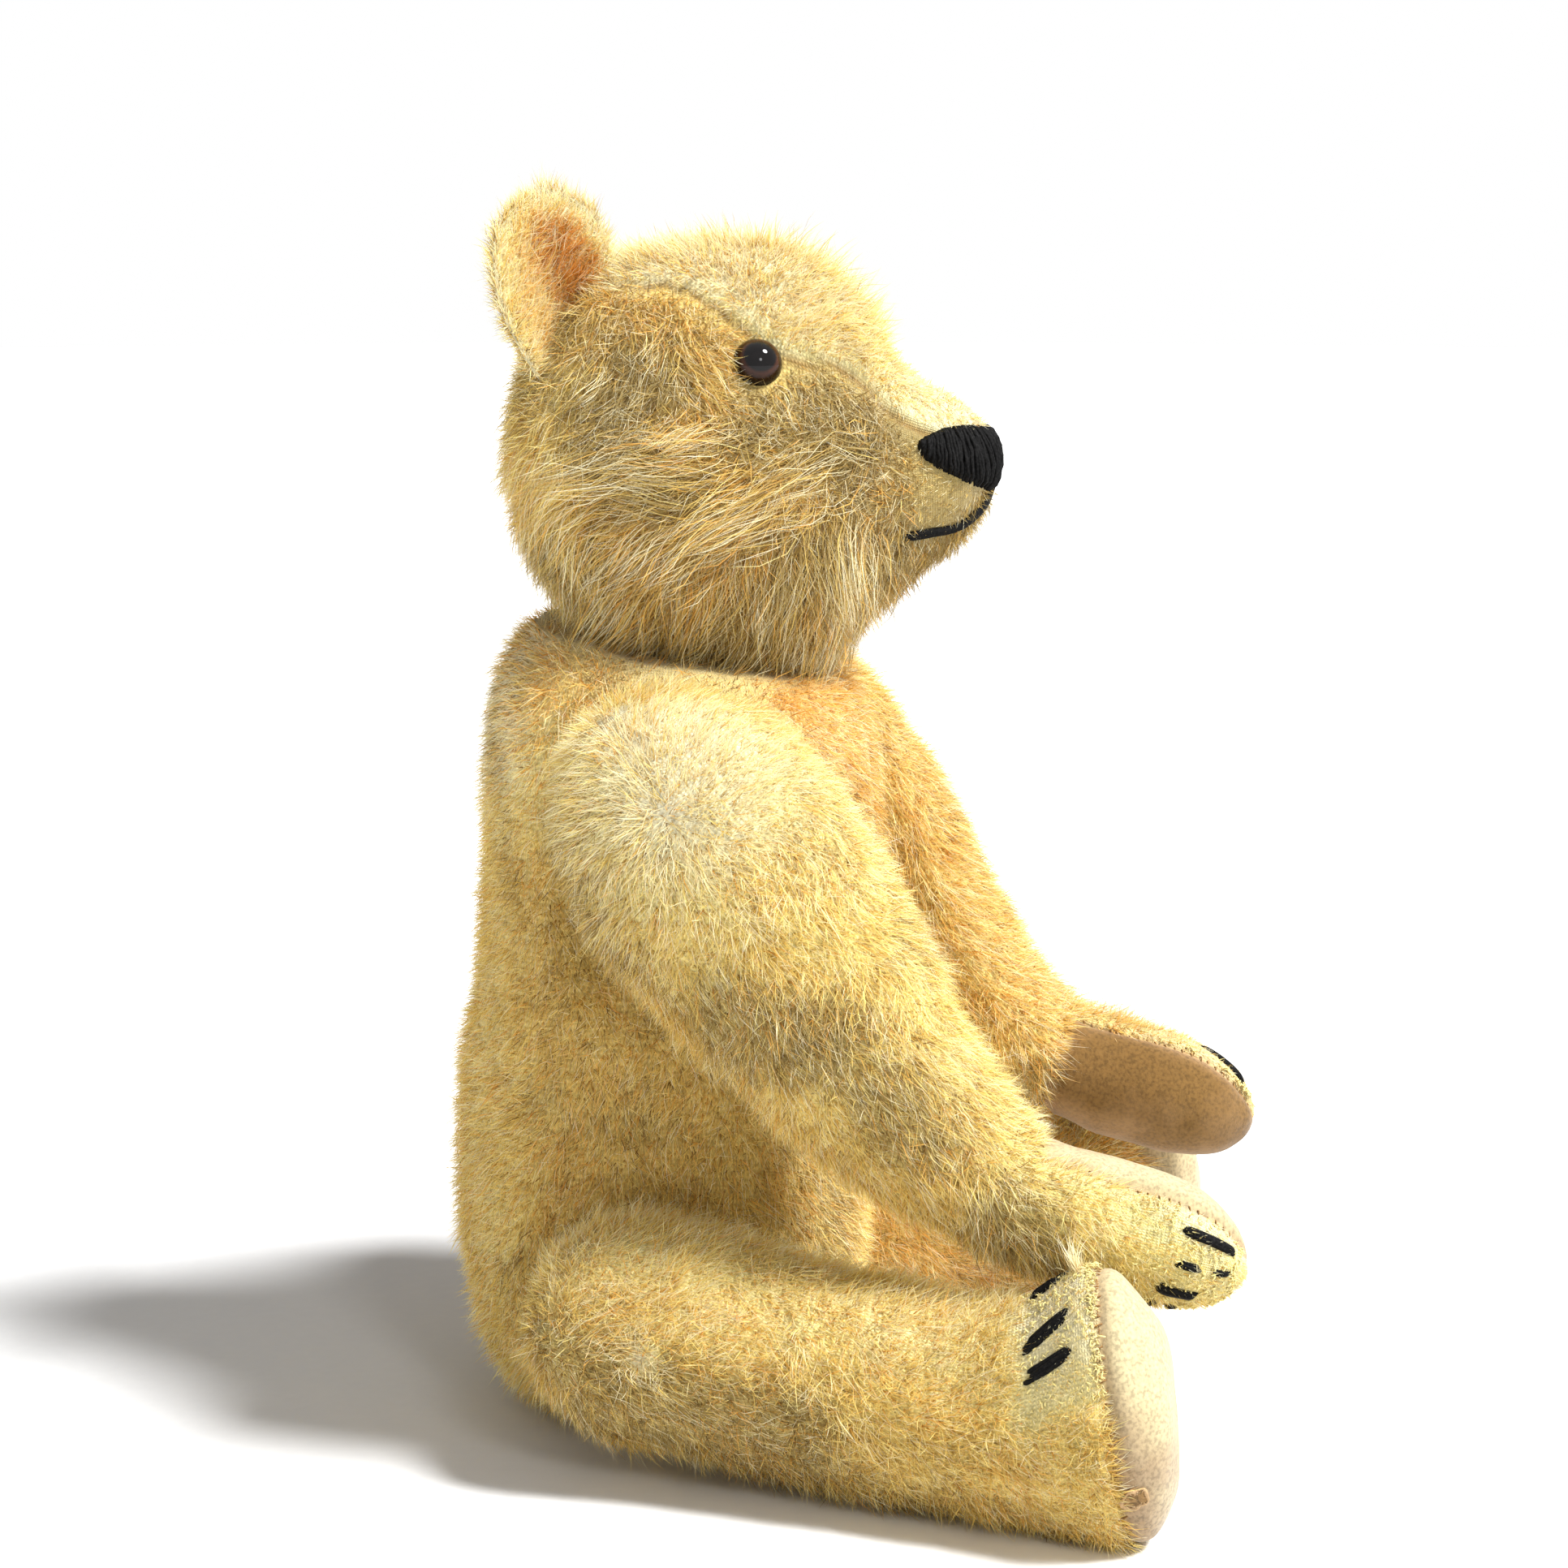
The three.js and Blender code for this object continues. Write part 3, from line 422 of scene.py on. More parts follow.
class Cloth:
    """A sewn cover as a grid of points, from tail to nose in rows and round from the ridge in columns"""

    def __init__(self, shape, rows, columns, relief=None, facing_out=None):
        v = np.linspace(0, 1, rows + 1)
        angle = np.linspace(0, 2 * np.pi, columns, endpoint=False)
        self.v, self.angle = np.meshgrid(v, angle, indexing="ij")
        self.point = shape(self.v, self.angle)
        self.rows, self.columns = rows, columns
        self.sign = 1.0
        self.measure()
        middle = self.point.mean(axis=1, keepdims=True) if facing_out is None else facing_out
        if dot(self.normal, self.point - middle).sum() < 0:
            self.sign = -1.0
            self.measure()
        if relief:
            self.point = self.point + self.normal * relief(self.site())[..., None]
            self.point[..., 2] = np.maximum(self.point[..., 2], 0)
            self.measure()

    def measure(self):
        along = np.gradient(self.point, axis=0)
        around = np.roll(self.point, -1, axis=1) - np.roll(self.point, 1, axis=1)
        normal = np.cross(along, around) * self.sign
        for end, inner in ((0, 1), (-1, -2)):
            normal[end] = normal[inner].sum(axis=0)
        self.normal = unit(normal)
        self.along = unit(along - self.normal * dot(along, self.normal)[..., None])

    def site(self):
        return Site(self.point, self.normal, self.along, self.v, self.angle)

    def corners(self, field):
        """The field's values at the four corners of every cell"""
        right = np.roll(field, -1, axis=1)
        return field[:-1], right[:-1], right[1:], field[1:]

    def scatter(self, density, count, rng):
        """Even places on the cloth, more of them where density is high"""
        a, b, c, d = self.corners(self.point)
        area = np.linalg.norm(np.cross(c - a, d - b), axis=-1) / 2
        weight = area * sum(self.corners(density)) / 4
        total = np.cumsum(weight.ravel())
        wanted = (np.arange(count) + rng.random(count)) / count * total[-1]
        cell = np.minimum(np.searchsorted(total, wanted), total.size - 1)
        i, j = np.divmod(cell, self.columns)
        s, t = rng.random(count), rng.random(count)

        def blended(field):
            a, b, c, d = (corner[i, j] for corner in self.corners(field))
            weights = ((1 - s) * (1 - t), (1 - s) * t, s * t, s * (1 - t))
            if a.ndim > 1:
                weights = [w[:, None] for w in weights]
            return sum(w * corner for w, corner in zip(weights, (a, b, c, d)))

        angle = self.angle[0, j] + t * 2 * np.pi / self.columns
        v = (i + s) / self.rows
        return Site(blended(self.point), unit(blended(self.normal)), unit(blended(self.along)), v, angle)

    def faces(self):
        """Quads between the rings and triangles at the two closed ends, wound to face outward"""
        n = self.columns
        ring = np.arange(n)
        following = (ring + 1) % n
        quads = []
        for row in range(1, self.rows - 1):
            low, high = row * n, (row + 1) * n
            quads.append(np.stack([low + ring, low + following, high + following, high + ring], -1))
        quads = np.concatenate(quads) - (n - 1)
        ends = self.point.reshape(-1, 3).shape[0]
        last = ends - 2 * (n - 1) - 1
        tail = np.stack([np.zeros(n, int), 1 + following, 1 + ring], -1)
        top = last - n
        nose = np.stack([np.full(n, last), top + ring, top + following], -1)
        faces = [*quads.tolist(), *tail.tolist(), *nose.tolist()]
        return faces if self.sign < 0 else [face[::-1] for face in faces]

    def points(self):
        return np.concatenate([self.point[:1, 0], self.point[1:-1].reshape(-1, 3), self.point[-1:, 0]])

    def over_points(self, field):
        return np.concatenate([field[:1, 0], field[1:-1].reshape(-1, *field.shape[2:]), field[-1:, 0]])


# Pile: what the cloth wears at each place


class Coat:
    """Pile at each site. Shares are from 0 to 1. Length is in metres."""

    def __init__(self, shape):
        self.length = np.full(shape, 4 * MM)
        self.density = np.ones(shape)
        self.lean = np.full(shape, 0.55)
        self.flow = np.zeros((*shape, 3))
        self.hue = np.full(shape, 0.42)
        self.warm = np.zeros(shape)
        # Share of soiled tufts; on the cheeks and the lower sides of the limbs it is partly painted shade
        self.soil_and_shade = np.zeros(shape)
        self.pale = np.full(shape, 0.05)
        self.wave = np.full(shape, 0.35)
        self.clump = np.full(shape, 0.35)
        self.rub = np.zeros(shape)
        self.deep = np.zeros(shape)


# Where each colour stands along the palette, and the shades that tufts are drawn round
PALETTE_STOPS = (
    (0.0, "umber"),
    (0.14, "soiled"),
    (0.29, "dull_gold"),
    (0.43, "honey"),
    (0.56, "blond"),
    (0.66, "cream"),
    (0.74, "fibre"),
    (0.87, "orange"),
    (1.0, "rust"),
)
WARM_SHADE = 0.89
SOIL_SHADE = 0.15
PALE_SHADE = 0.72
HUE_SPREAD = 0.115
# Painted shade along each fibre: darkest and warmest at the root, clearing toward the tip
ROOT_PAINTED_SHADE = (0.40, 0.24, 0.085)
MIDDLE_PAINTED_SHADE = (0.90, 0.82, 0.66)

# Share of each colour of light that the dirt in a seam takes away
GUSSET_DIRT = (0.30, 0.46, 0.62)
PAD_SEAM_DIRT = (0.25, 0.36, 0.45)


def palette(colours, shade):
    """The mohair colour at a share of the palette"""
    stops = [s for s, _ in PALETTE_STOPS]
    shades = np.array([linear(getattr(colours, name)) for _, name in PALETTE_STOPS])
    return np.stack([np.interp(shade, stops, shades[:, c]) for c in range(3)], -1)


def tangent(vector, normal):
    """The part of a vector that lies along the cloth, at a length of 1"""
    vector = np.broadcast_to(vector, normal.shape)
    return unit(vector - normal * dot(vector, normal)[..., None])


def from_ridge(site):
    """Angle of each place from the ridge, the same on both sides, in radians"""
    return np.minimum(site.angle, 2 * np.pi - site.angle)


def gusset_angle(v):
    """Angle of the gusset seam from the ridge at stations of the head, in degrees"""
    return np.interp(v, *zip(*GUSSET_SEAM))


def gusset_distance(site):
    """Distance round the head from the nearer gusset seam, in metres"""
    seam = np.radians(gusset_angle(site.v))
    return (from_ridge(site) - seam) * np.linalg.norm(site.point - HEAD.core(site.v), axis=-1)


def times(share, direction):
    """A direction for each place, as long as the place's share"""
    return share[..., None] * direction


def head_flow(site, side, forward, low, temple, nape, brow):
    """Which way the head is brushed: back from the muzzle, down at the temples and the nape, apart on the brow"""
    out, back, down = np.array([1.0, 0, 0]), np.array([0, 1.0, 0]), np.array([0, 0, -1.0])
    flow = times(1.0 - 0.75 * low, back) + times(0.25 + 0.75 * low, down)
    flow = times(1 - temple, flow) + times(temple, 0.95 * down - 0.35 * back)
    flow = times(1 - nape, flow) + times(nape, down)
    ahead = smooth(2 * MM, 18 * MM, forward)
    top_flow = times(0.6 - 1.1 * ahead, back) + times(np.sign(side) * 0.4, out) - times(0.3 * ahead, down)
    flow = times(1 - brow, flow) + times(brow, top_flow)
    swirl = (mottle(site.point, 11 * MM, 8) - 0.5) * 1.6
    flow = turned(flow, NECK_AXIS, HEAD_TURN)
    return tangent(flow + np.cross(site.normal, flow) * swirl[..., None], site.normal)


def head_coat(sizes, site):
    """Long locks on the cheeks, upright pile on the brow, and a muzzle worn to the cloth"""
    coat = Coat(site.v.shape)
    local = to_head(site.point)
    side, forward, height = local[..., 0], -local[..., 1], local[..., 2]
    degrees = np.degrees(from_ridge(site))
    brow = 1 - smooth(-5, 6, degrees - gusset_angle(site.v))
    bridge = brow * smooth(24 * MM, 32 * MM, forward)
    muzzle = smooth(27 * MM, 40 * MM, forward)
    nape = smooth(-12 * MM, -22 * MM, forward)
    low = 1 - smooth(14 * MM, 30 * MM, height)
    temple = smooth(34 * MM, 46 * MM, height) * (1 - brow)
    cheek = (1 - brow) * (1 - muzzle) * (1 - 0.55 * nape)

    # Long on the cheeks, worn short at the muzzle and round the eyes, and parted along the gusset seams
    coat.length = sizes.pile_body + cheek * (sizes.pile_cheek - sizes.pile_body)
    coat.length += brow * (sizes.pile_brow - sizes.pile_body)
    coat.length += brow * smooth(2 * MM, 16 * MM, forward) * 2.4 * MM
    coat.length *= (1 - 0.35 * temple) * (1 - 0.4 * bridge)
    chin = muzzle * smooth(118, 150, degrees)
    coat.length += muzzle * (1.2 * MM + 2.2 * MM * chin + 1.2 * MM * brow - coat.length)
    coat.length *= (0.8 + 0.4 * mottle(site.point, 6 * MM, 3)) * (0.75 + 0.5 * mottle(site.point, 2 * MM, 4))
    near_eye = bell(np.linalg.norm(local * [0, 1, 1] - to_head(eye_seat(1)[0]) * [0, 1, 1], axis=-1), 6.5 * MM)
    coat.length *= 1 - 0.6 * near_eye * (np.abs(side) > 8 * MM)
    run = smooth(0.26, 0.31, site.v) * smooth(0.8, 0.72, site.v)
    ragged = (mottle(site.point, 1.8 * MM, 18) - 0.5) * 1.8 * MM
    seam = bell(gusset_distance(site) + ragged, 0.85 * MM) * run
    parting = bell(gusset_distance(site), 3.6 * MM) * run
    coat.length *= (1 - 0.5 * seam) * (1 - 0.66 * parting)
    coat.density = (1 + 0.3 * muzzle + 0.1 * cheek) * (1 - 0.82 * seam)
    coat.density *= 1 - smooth(0.02, 0.12, -(site.normal @ NECK_AXIS) - 0.85) * 0.9

    coat.flow = head_flow(site, side, forward, low, temple, nape, brow)
    coat.lean = 0.72 * cheek + 0.22 * brow + 0.55 * muzzle + 0.3 * nape
    coat.wave = 0.25 + 0.95 * cheek
    coat.clump = 0.3 + 0.62 * cheek

    # Paler on the brow, and paler still where the cloth faces up as painted light; darker on the cheeks and low on the
    # head as painted shade; soiled on the muzzle, the cheeks and in the seams, the cheeks' soiling partly painted shade
    patch = mottle(site.point, 9 * MM, 21)
    coat.hue = 0.40 + 0.21 * brow * (1 - 0.8 * nape) - 0.14 * cheek - 0.04 * low
    coat.hue += 0.08 * smooth(0.2, 0.9, site.normal[..., 2]) + 0.1 * nape - 0.13 * muzzle * (1 - brow)
    coat.soil_and_shade = 0.7 * cheek * smooth(0.35, 0.65, patch) + 0.75 * smooth(20 * MM, 34 * MM, forward) * (1 - brow)
    coat.soil_and_shade += 0.25 * temple + 0.3 * nape * low
    coat.soil_and_shade += 0.8 * seam
    coat.warm = 0.05 + 0.2 * cheek * smooth(0.55, 0.3, patch) + 0.04 * brow
    coat.pale = 0.08 + 0.14 * cheek + 0.08 * brow * (1 - nape)
    return coat


def torso_coat(sizes, site):
    """Short brushed pile, orange on the chest and flattened where the limbs turn against it"""
    coat = Coat(site.v.shape)
    x, y, z = (site.point[..., a] for a in range(3))
    coat.length = np.full(site.v.shape, sizes.pile_body) * (0.8 + 0.4 * mottle(site.point, 7 * MM, 5))
    coat.length *= 0.65 + 0.7 * mottle(site.point, 2.2 * MM, 7)
    covered = np.zeros(site.v.shape)
    for joint in (SHOULDER, HIP):
        away = np.hypot(y - joint[1], z - joint[2])
        covered = np.maximum(covered, 1 - smooth(12 * MM, 17 * MM, away))
    covered *= np.abs(x) > 27 * MM
    under = smooth(-0.7, -0.9, site.normal[..., 2])
    top = smooth(0.75, 0.9, site.normal @ NECK_AXIS) * (z > 118 * MM)
    coat.density = 1 - 0.93 * covered - 0.8 * under
    coat.density = coat.density * (1 - 0.9 * top)
    coat.length *= 1 - 0.65 * covered - 0.6 * under
    coat.flow = tangent(np.array([0, 0, -1.0]), site.normal)
    swirl = (mottle(site.point, 10 * MM, 6) - 0.5) * 1.6
    coat.flow = tangent(coat.flow + np.cross(site.normal, coat.flow) * swirl[..., None], site.normal)
    coat.lean = np.full(site.v.shape, 0.42)

    # Unfaded on the chest and under the chin, pale along the front seam, and paler on the back and toward the top as
    # painted light
    front = smooth(-10 * MM, -24 * MM, y)
    back = smooth(14 * MM, 26 * MM, y)
    chest = front * smooth(62 * MM, 80 * MM, z)
    collar = smooth(108 * MM, 122 * MM, z)
    patch = mottle(site.point, 12 * MM, 17)
    coat.hue = 0.315 + 0.17 * back + 0.11 * front + 0.05 * (patch - 0.5) + 0.23 * smooth(92 * MM, 114 * MM, z)
    coat.warm = 0.12 + 0.46 * chest + 0.35 * collar * (1 - back) + 0.14 * smooth(0.5, 0.8, patch)
    coat.soil_and_shade = 0.4 * smooth(0.5, 0.8, mottle(site.point, 14 * MM, 29)) + 0.3 * collar * back
    coat.pale = np.full(site.v.shape, 0.06)
    seam = bell(np.abs(x - FRONT_SEAM_SHIFT), 1.1 * MM) * front
    coat.pale = coat.pale + 0.6 * seam
    coat.length *= 1 - 0.5 * seam
    return coat


def limb_coat(sizes, site, side, joint, whorl_size, wear, under_pad, warm):
    """Pile that radiates from the joint's outer side and then runs down to the paw"""
    coat = Coat(site.v.shape)
    y, z = site.point[..., 1], site.point[..., 2]
    coat.length = np.full(site.v.shape, sizes.pile_limb) * (0.75 + 0.5 * mottle(site.point, 8 * MM, 9))
    coat.length *= 0.65 + 0.7 * mottle(site.point, 2.2 * MM, 10)
    whorl = np.array([0, joint[1] - WHORL_BACK, joint[2]])
    radial = tangent((site.point - whorl) * [0, 1, 1], site.normal)
    near = bell(np.hypot(y - whorl[1], z - whorl[2]), whorl_size) * (side * site.normal[..., 0] > 0.2)
    flow = site.along * (1 - near)[..., None] + radial * near[..., None]
    swirl = (mottle(site.point, 9 * MM, 12) - 0.5) * 1.8
    coat.flow = tangent(flow + np.cross(site.normal, flow) * swirl[..., None], site.normal)
    coat.lean = 0.62 - 0.2 * near
    inner = smooth(-0.55, -0.9, side * site.normal[..., 0])
    pressed = inner * (1 - smooth(13 * MM, 18 * MM, np.hypot(y - joint[1], z - joint[2])))
    coat.length *= (1 - 0.68 * wear) * (1 - 0.75 * pressed)
    coat.density = (1 + 0.2 * wear) * (1 - 0.9 * pressed) * ~under_pad

    # Paler where the cloth faces up and darker where it faces down, as painted light and shade; paler at the whorl;
    # soiled in patches kept to the lower sides, which is partly painted shade
    up = site.normal[..., 2]
    patch = mottle(site.point, 10 * MM, 33)
    coat.hue = 0.41 + 0.14 * smooth(-0.3, 0.8, up) + 0.06 * (patch - 0.5) - 0.04 * smooth(0.1, -0.8, up)
    coat.hue += 0.26 * near + 0.1 * wear
    dirty = smooth(0.4, 0.75, mottle(site.point, 15 * MM, 41))
    coat.soil_and_shade = 0.7 * smooth(0.75, -0.1, up) * dirty * (1 - 0.7 * near) * (1 - warm) * (1 - 0.8 * wear)
    coat.warm = warm + 0.1 * smooth(0.45, 0.8, patch)
    coat.pale = 0.07 + 0.34 * near + 0.05 * smooth(0, 0.8, up) + 0.15 * wear
    return coat


# Fibres


class Layer:
    """One layer of fibres: segments, and length, spread, lean and width against the coat's own.
    most is the greatest length in metres, lock the share that lead a lock, bright the extra share of pale ones."""

    def __init__(self, suffix, segments, length, most, spread, lean, width, lock, bright):
        self.suffix, self.segments, self.length, self.most, self.spread = suffix, segments, length, most, spread
        self.lean, self.width, self.lock, self.bright = lean, width, lock, bright


NAP = Layer("nap", 1, 0.85, 4.2 * MM, 0.55, 0.7, 1.0, 0, 0.02)
PILE = Layer("pile", 2, 1.2, 9 * MM, 0.42, 0.9, 0.8, 0.1, 0.3)
LOCKS = Layer("locks", 4, 1.05, 14 * MM, 0.24, 1.0, 0.9, 0.022, 0.14)

# Rows and columns of the covers' cloth, and the girth and length of their maps in metres
HEAD_GRID, HEAD_MAP = (104, 112), (0.17, 0.13)
EAR_GRID, EAR_MAP = (36, 48), (0.05, 0.04)
TORSO_GRID, TORSO_MAP = (88, 100), (0.21, 0.14)

# Tufts of each layer on a cover
HEAD_TUFTS = ((NAP, 78000), (LOCKS, 15000))
EAR_TUFTS = ((NAP, 13000), (PILE, 4300))
TORSO_TUFTS = ((NAP, 108000), (PILE, 20000))
ARM_TUFTS = ((NAP, 60000), (PILE, 15000))
LEG_TUFTS = ((NAP, 56000), (PILE, 14000))


def fibre_paths(site, coat, layer, rng):
    """Points of each fibre from its root to its tip, as an array of fibres, steps and axes"""
    count = site.v.size
    segments = layer.segments
    length = np.minimum(layer.length * coat.length, layer.most) * (0.65 + 0.6 * rng.random(count))
    spread = rng.normal(size=(count, 3)) * layer.spread
    coat.lean = coat.lean * layer.lean
    lift = 1 - coat.lean
    start = unit(site.normal * lift[:, None] + coat.flow * coat.lean[:, None] * 0.8 + spread * 0.8)
    bend = coat.flow * (0.35 + 0.5 * coat.lean)[:, None] - site.normal * (0.28 * coat.lean)[:, None] + spread * 0.4
    across = unit(np.cross(site.normal, coat.flow))
    t = np.linspace(0, 1, segments + 1)[None, :, None]
    reach = length[:, None, None]
    root = site.point - site.normal * (0.3 * MM)
    path = root[:, None] + reach * (start[:, None] * t + bend[:, None] * t**2 * 0.75)
    phase = rng.random((count, 1, 1)) * 2 * np.pi
    swing = np.sin(phase + t * (3.2 + 2.2 * rng.random((count, 1, 1)))) - np.sin(phase)
    path += across[:, None] * swing * (coat.wave * length * 0.13)[:, None, None]
    return path


def gathered(path, coat, rng, share):
    """Draws tufts together into locks, each round one of a share of them"""
    count = len(path)
    leaders = rng.choice(count, max(int(count * share), 1), replace=False)
    tree = KDTree(len(leaders))
    for i, leader in enumerate(leaders):
        tree.insert(path[leader, 0], i)
    tree.balance()
    nearest = leaders[[tree.find(root)[1] for root in path[:, 0]]]
    t = np.linspace(0, 1, path.shape[1])[None, :, None]
    pull = (coat.clump * (0.6 + 0.4 * rng.random(count)))[:, None, None] * t**1.3
    leader_shift = path[nearest] - path[nearest][:, :1] + path[:, :1]
    toward = 0.55 * path[nearest] + 0.45 * leader_shift
    return path + (toward - path) * pull


def ribbons(name, path, normal, width, shade, rng):
    """Tapering flat fibres along the paths, as one mesh with its palette map"""
    count, steps = path.shape[:2]
    direction = unit(np.gradient(path, axis=1))
    flat = unit(np.cross(direction, normal[:, None]))
    upright = np.cross(direction, flat)
    roll = rng.normal(size=(count, 1, 1)) * 0.55
    wide = flat * np.cos(roll) + upright * np.sin(roll)
    t = np.linspace(0, 1, steps)
    half = width[:, None, None] * (1 - 0.75 * t**1.5)[None, :, None] / 2
    left, right = path - wide * half, path + wide * half
    sides = np.stack([left[:, :-1], right[:, :-1]], axis=2).reshape(count, -1, 3)
    points = np.concatenate([sides, path[:, -1:]], axis=1)
    points[..., 2] = np.maximum(points[..., 2], 0.15 * MM)
    per = points.shape[1]
    pattern = []
    totals = []
    for step in range(steps - 2):
        pattern += [2 * step, 2 * step + 1, 2 * step + 3, 2 * step + 2]
        totals.append(4)
    pattern += [per - 3, per - 2, per - 1]
    totals.append(3)
    pattern = np.array(pattern)
    loops = (np.arange(count)[:, None] * per + pattern).ravel()
    totals = np.tile(totals, count)
    mesh = bpy.data.meshes.new(name)
    mesh.vertices.add(count * per)
    mesh.vertices.foreach_set("co", points.astype(np.float32).ravel())
    mesh.loops.add(loops.size)
    mesh.loops.foreach_set("vertex_index", loops.astype(np.int32))
    mesh.polygons.add(totals.size)
    mesh.polygons.foreach_set("loop_start", (np.cumsum(totals) - totals).astype(np.int32))
    mesh.polygons.foreach_set("loop_total", totals.astype(np.int32))
    level = np.where(np.arange(per) == per - 1, steps - 1, np.arange(per) // 2) / (steps - 1)
    sideways = np.where(np.arange(per) == per - 1, 0, np.arange(per) % 2 * 2 - 1) * 0.006
    u = np.clip(shade, 0.01, 0.99)[:, None] + sideways
    v = np.broadcast_to(0.02 + 0.96 * level, u.shape)
    per_point = np.stack([u, v], -1).reshape(-1, 2)
    uv = mesh.uv_layers.new(name="OFBake")
    uv.data.foreach_set("uv", per_point[loops].astype(np.float32).ravel())
    mesh.update(calc_edges=True)
    mesh.validate()
    return mesh


def shades_of(coat, rng):
    """Each tuft's share of the palette, drawn from its place's own mixture"""
    count = coat.hue.size
    draw = rng.random(count)
    jitter = rng.normal(size=count)
    shade = np.minimum(coat.hue + jitter * HUE_SPREAD, PALE_SHADE + 0.01)
    warm = draw < coat.warm
    soil_and_shade = ~warm & (draw < coat.warm + coat.soil_and_shade)
    pale = rng.random(count) < coat.pale
    shade = np.where(warm, WARM_SHADE + coat.deep + jitter * 0.035, shade)
    shade = np.where(soil_and_shade, SOIL_SHADE + jitter * 0.04, shade)
    shade = np.where(pale, PALE_SHADE - 0.05 * rng.random(count), shade)
    return np.where(np.arange(count) % 400 == 0, rng.random(count), shade)


def grow(layer, name, cloth, wear, count, seed, body, colours, sizes, keep=None):
    """Grows one layer of a cover's pile"""
    rng = np.random.default_rng(seed)
    name = f"{name}_{layer.suffix}"
    site = cloth.scatter(np.maximum(wear(cloth.site()).density, 0), count, rng)
    if keep is not None:
        kept = keep(site)
        site = Site(*(part[kept] for part in (site.point, site.normal, site.along, site.v, site.angle)))
    coat = wear(site)
    coat.pale = coat.pale + layer.bright
    speckle, blotch = mottle(site.point, 1.6 * MM, 14), mottle(site.point, 5 * MM, 15)
    coat.hue = coat.hue + 0.28 * (speckle - 0.5) + 0.12 * (blotch - 0.5)
    path = fibre_paths(site, coat, layer, rng)
    if layer.lock:
        path = gathered(path, coat, rng, layer.lock)
    shade = shades_of(coat, rng)
    bright = np.abs(shade - PALE_SHADE) < 0.06
    width = layer.width * sizes.fibre_width * (0.75 + 0.5 * rng.random(site.v.size)) * np.where(bright, 0.7, 1)
    mesh = ribbons(name, path, site.normal, width, shade, rng)
    pile = bpy.data.objects.new(name, mesh)
    bpy.context.scene.collection.objects.link(pile)
    mesh.materials.append(pile_finish(colours))
    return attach(pile, body)


# Finishes


def nodes_of(name):
    """A material with its node tree and shader, or with neither where it is already finished"""
    material = bpy.data.materials.get(name)
    if material:
        return material, None, None
    material = bpy.data.materials.new(name)
    material.use_nodes = True
    tree = material.node_tree
    return material, tree, tree.nodes["Principled BSDF"]


def add(tree, kind, inputs=None, **settings):
    """A node with its settings, and its inputs linked or set"""
    node = tree.nodes.new(kind)
    for key, value in settings.items():
        setattr(node, key, value)
    for key, value in (inputs or {}).items():
        if isinstance(value, bpy.types.NodeSocket):
            tree.links.new(value, node.inputs[key])
        else:
            node.inputs[key].default_value = value
    return node


def mixed(tree, share, first, second, blend="MIX"):
    """A colour mix of two sockets or colours"""
    node = tree.nodes.new("ShaderNodeMix")
    node.data_type = "RGBA"
    node.blend_type = blend
    for socket, value in ((node.inputs[0], share), (node.inputs[6], first), (node.inputs[7], second)):
        if isinstance(value, bpy.types.NodeSocket):
            tree.links.new(value, socket)
        elif socket.type == "RGBA":
            socket.default_value = (*value, 1) if len(value) == 3 else value
        else:
            socket.default_value = value
    return node.outputs[2]


def ramp(tree, fac, stops):
    """A colour ramp through the given places and colours or grey levels"""
    node = tree.nodes.new("ShaderNodeValToRGB")
    tree.links.new(fac, node.inputs[0])
    elements = node.color_ramp.elements
    while len(elements) < len(stops):
        elements.new(0.5)
    for element, (place, colour) in zip(elements, stops):
        element.position = place
        element.color = (colour,) * 3 + (1,) if isinstance(colour, (int, float)) else (*colour, 1)
    return node.outputs[0]


def pile_finish(colours):
    """Mohair fibres: the palette across the map, times painted shade from a darker root to a clear tip"""
    material, tree, shader = nodes_of("mohair_pile")
    if tree is None:
        return material
    place = add(tree, "ShaderNodeUVMap", uv_map="OFBake").outputs[0]
    split = add(tree, "ShaderNodeSeparateXYZ", inputs={0: place})
    stops = [(s, tuple(linear(getattr(colours, name)))) for s, name in PALETTE_STOPS]
    hue = ramp(tree, split.outputs[0], stops)
    # Painted shade from each fibre's root to its tip
    depth = ramp(tree, split.outputs[1], [(0, ROOT_PAINTED_SHADE), (0.4, MIDDLE_PAINTED_SHADE), (0.8, 1.0)])
    colour = mixed(tree, 1.0, hue, depth, "MULTIPLY")
    tree.links.new(colour, shader.inputs["Base Color"])
    shader.inputs["Roughness"].default_value = 0.62
    shader.inputs["Specular IOR Level"].default_value = 0.3
    through = add(tree, "ShaderNodeBsdfTranslucent", inputs={"Color": colour})
    both = add(tree, "ShaderNodeMixShader", inputs={0: 0.3, 1: shader.outputs[0], 2: through.outputs[0]})
    tree.links.new(both.outputs[0], tree.nodes["Material Output"].inputs["Surface"])
    return material


def weave_height(tree, pitch):
    """Over-and-under threads of a plain weave, from the cloth's own map in metres"""
    place = add(tree, "ShaderNodeUVMap", uv_map="Cloth").outputs[0]
    crossed = []
    for direction in ("X", "Y"):
        wave = add(
            tree,
            "ShaderNodeTexWave",
            bands_direction=direction,
            inputs={"Vector": place, "Scale": 0.314 / pitch, "Distortion": 1.2, "Detail": 1.0, "Detail Scale": 3.0},
        )
        crossed.append(wave.outputs["Fac"])
    return add(tree, "ShaderNodeMath", operation="MULTIPLY", inputs={0: crossed[0], 1: crossed[1]}).outputs[0]


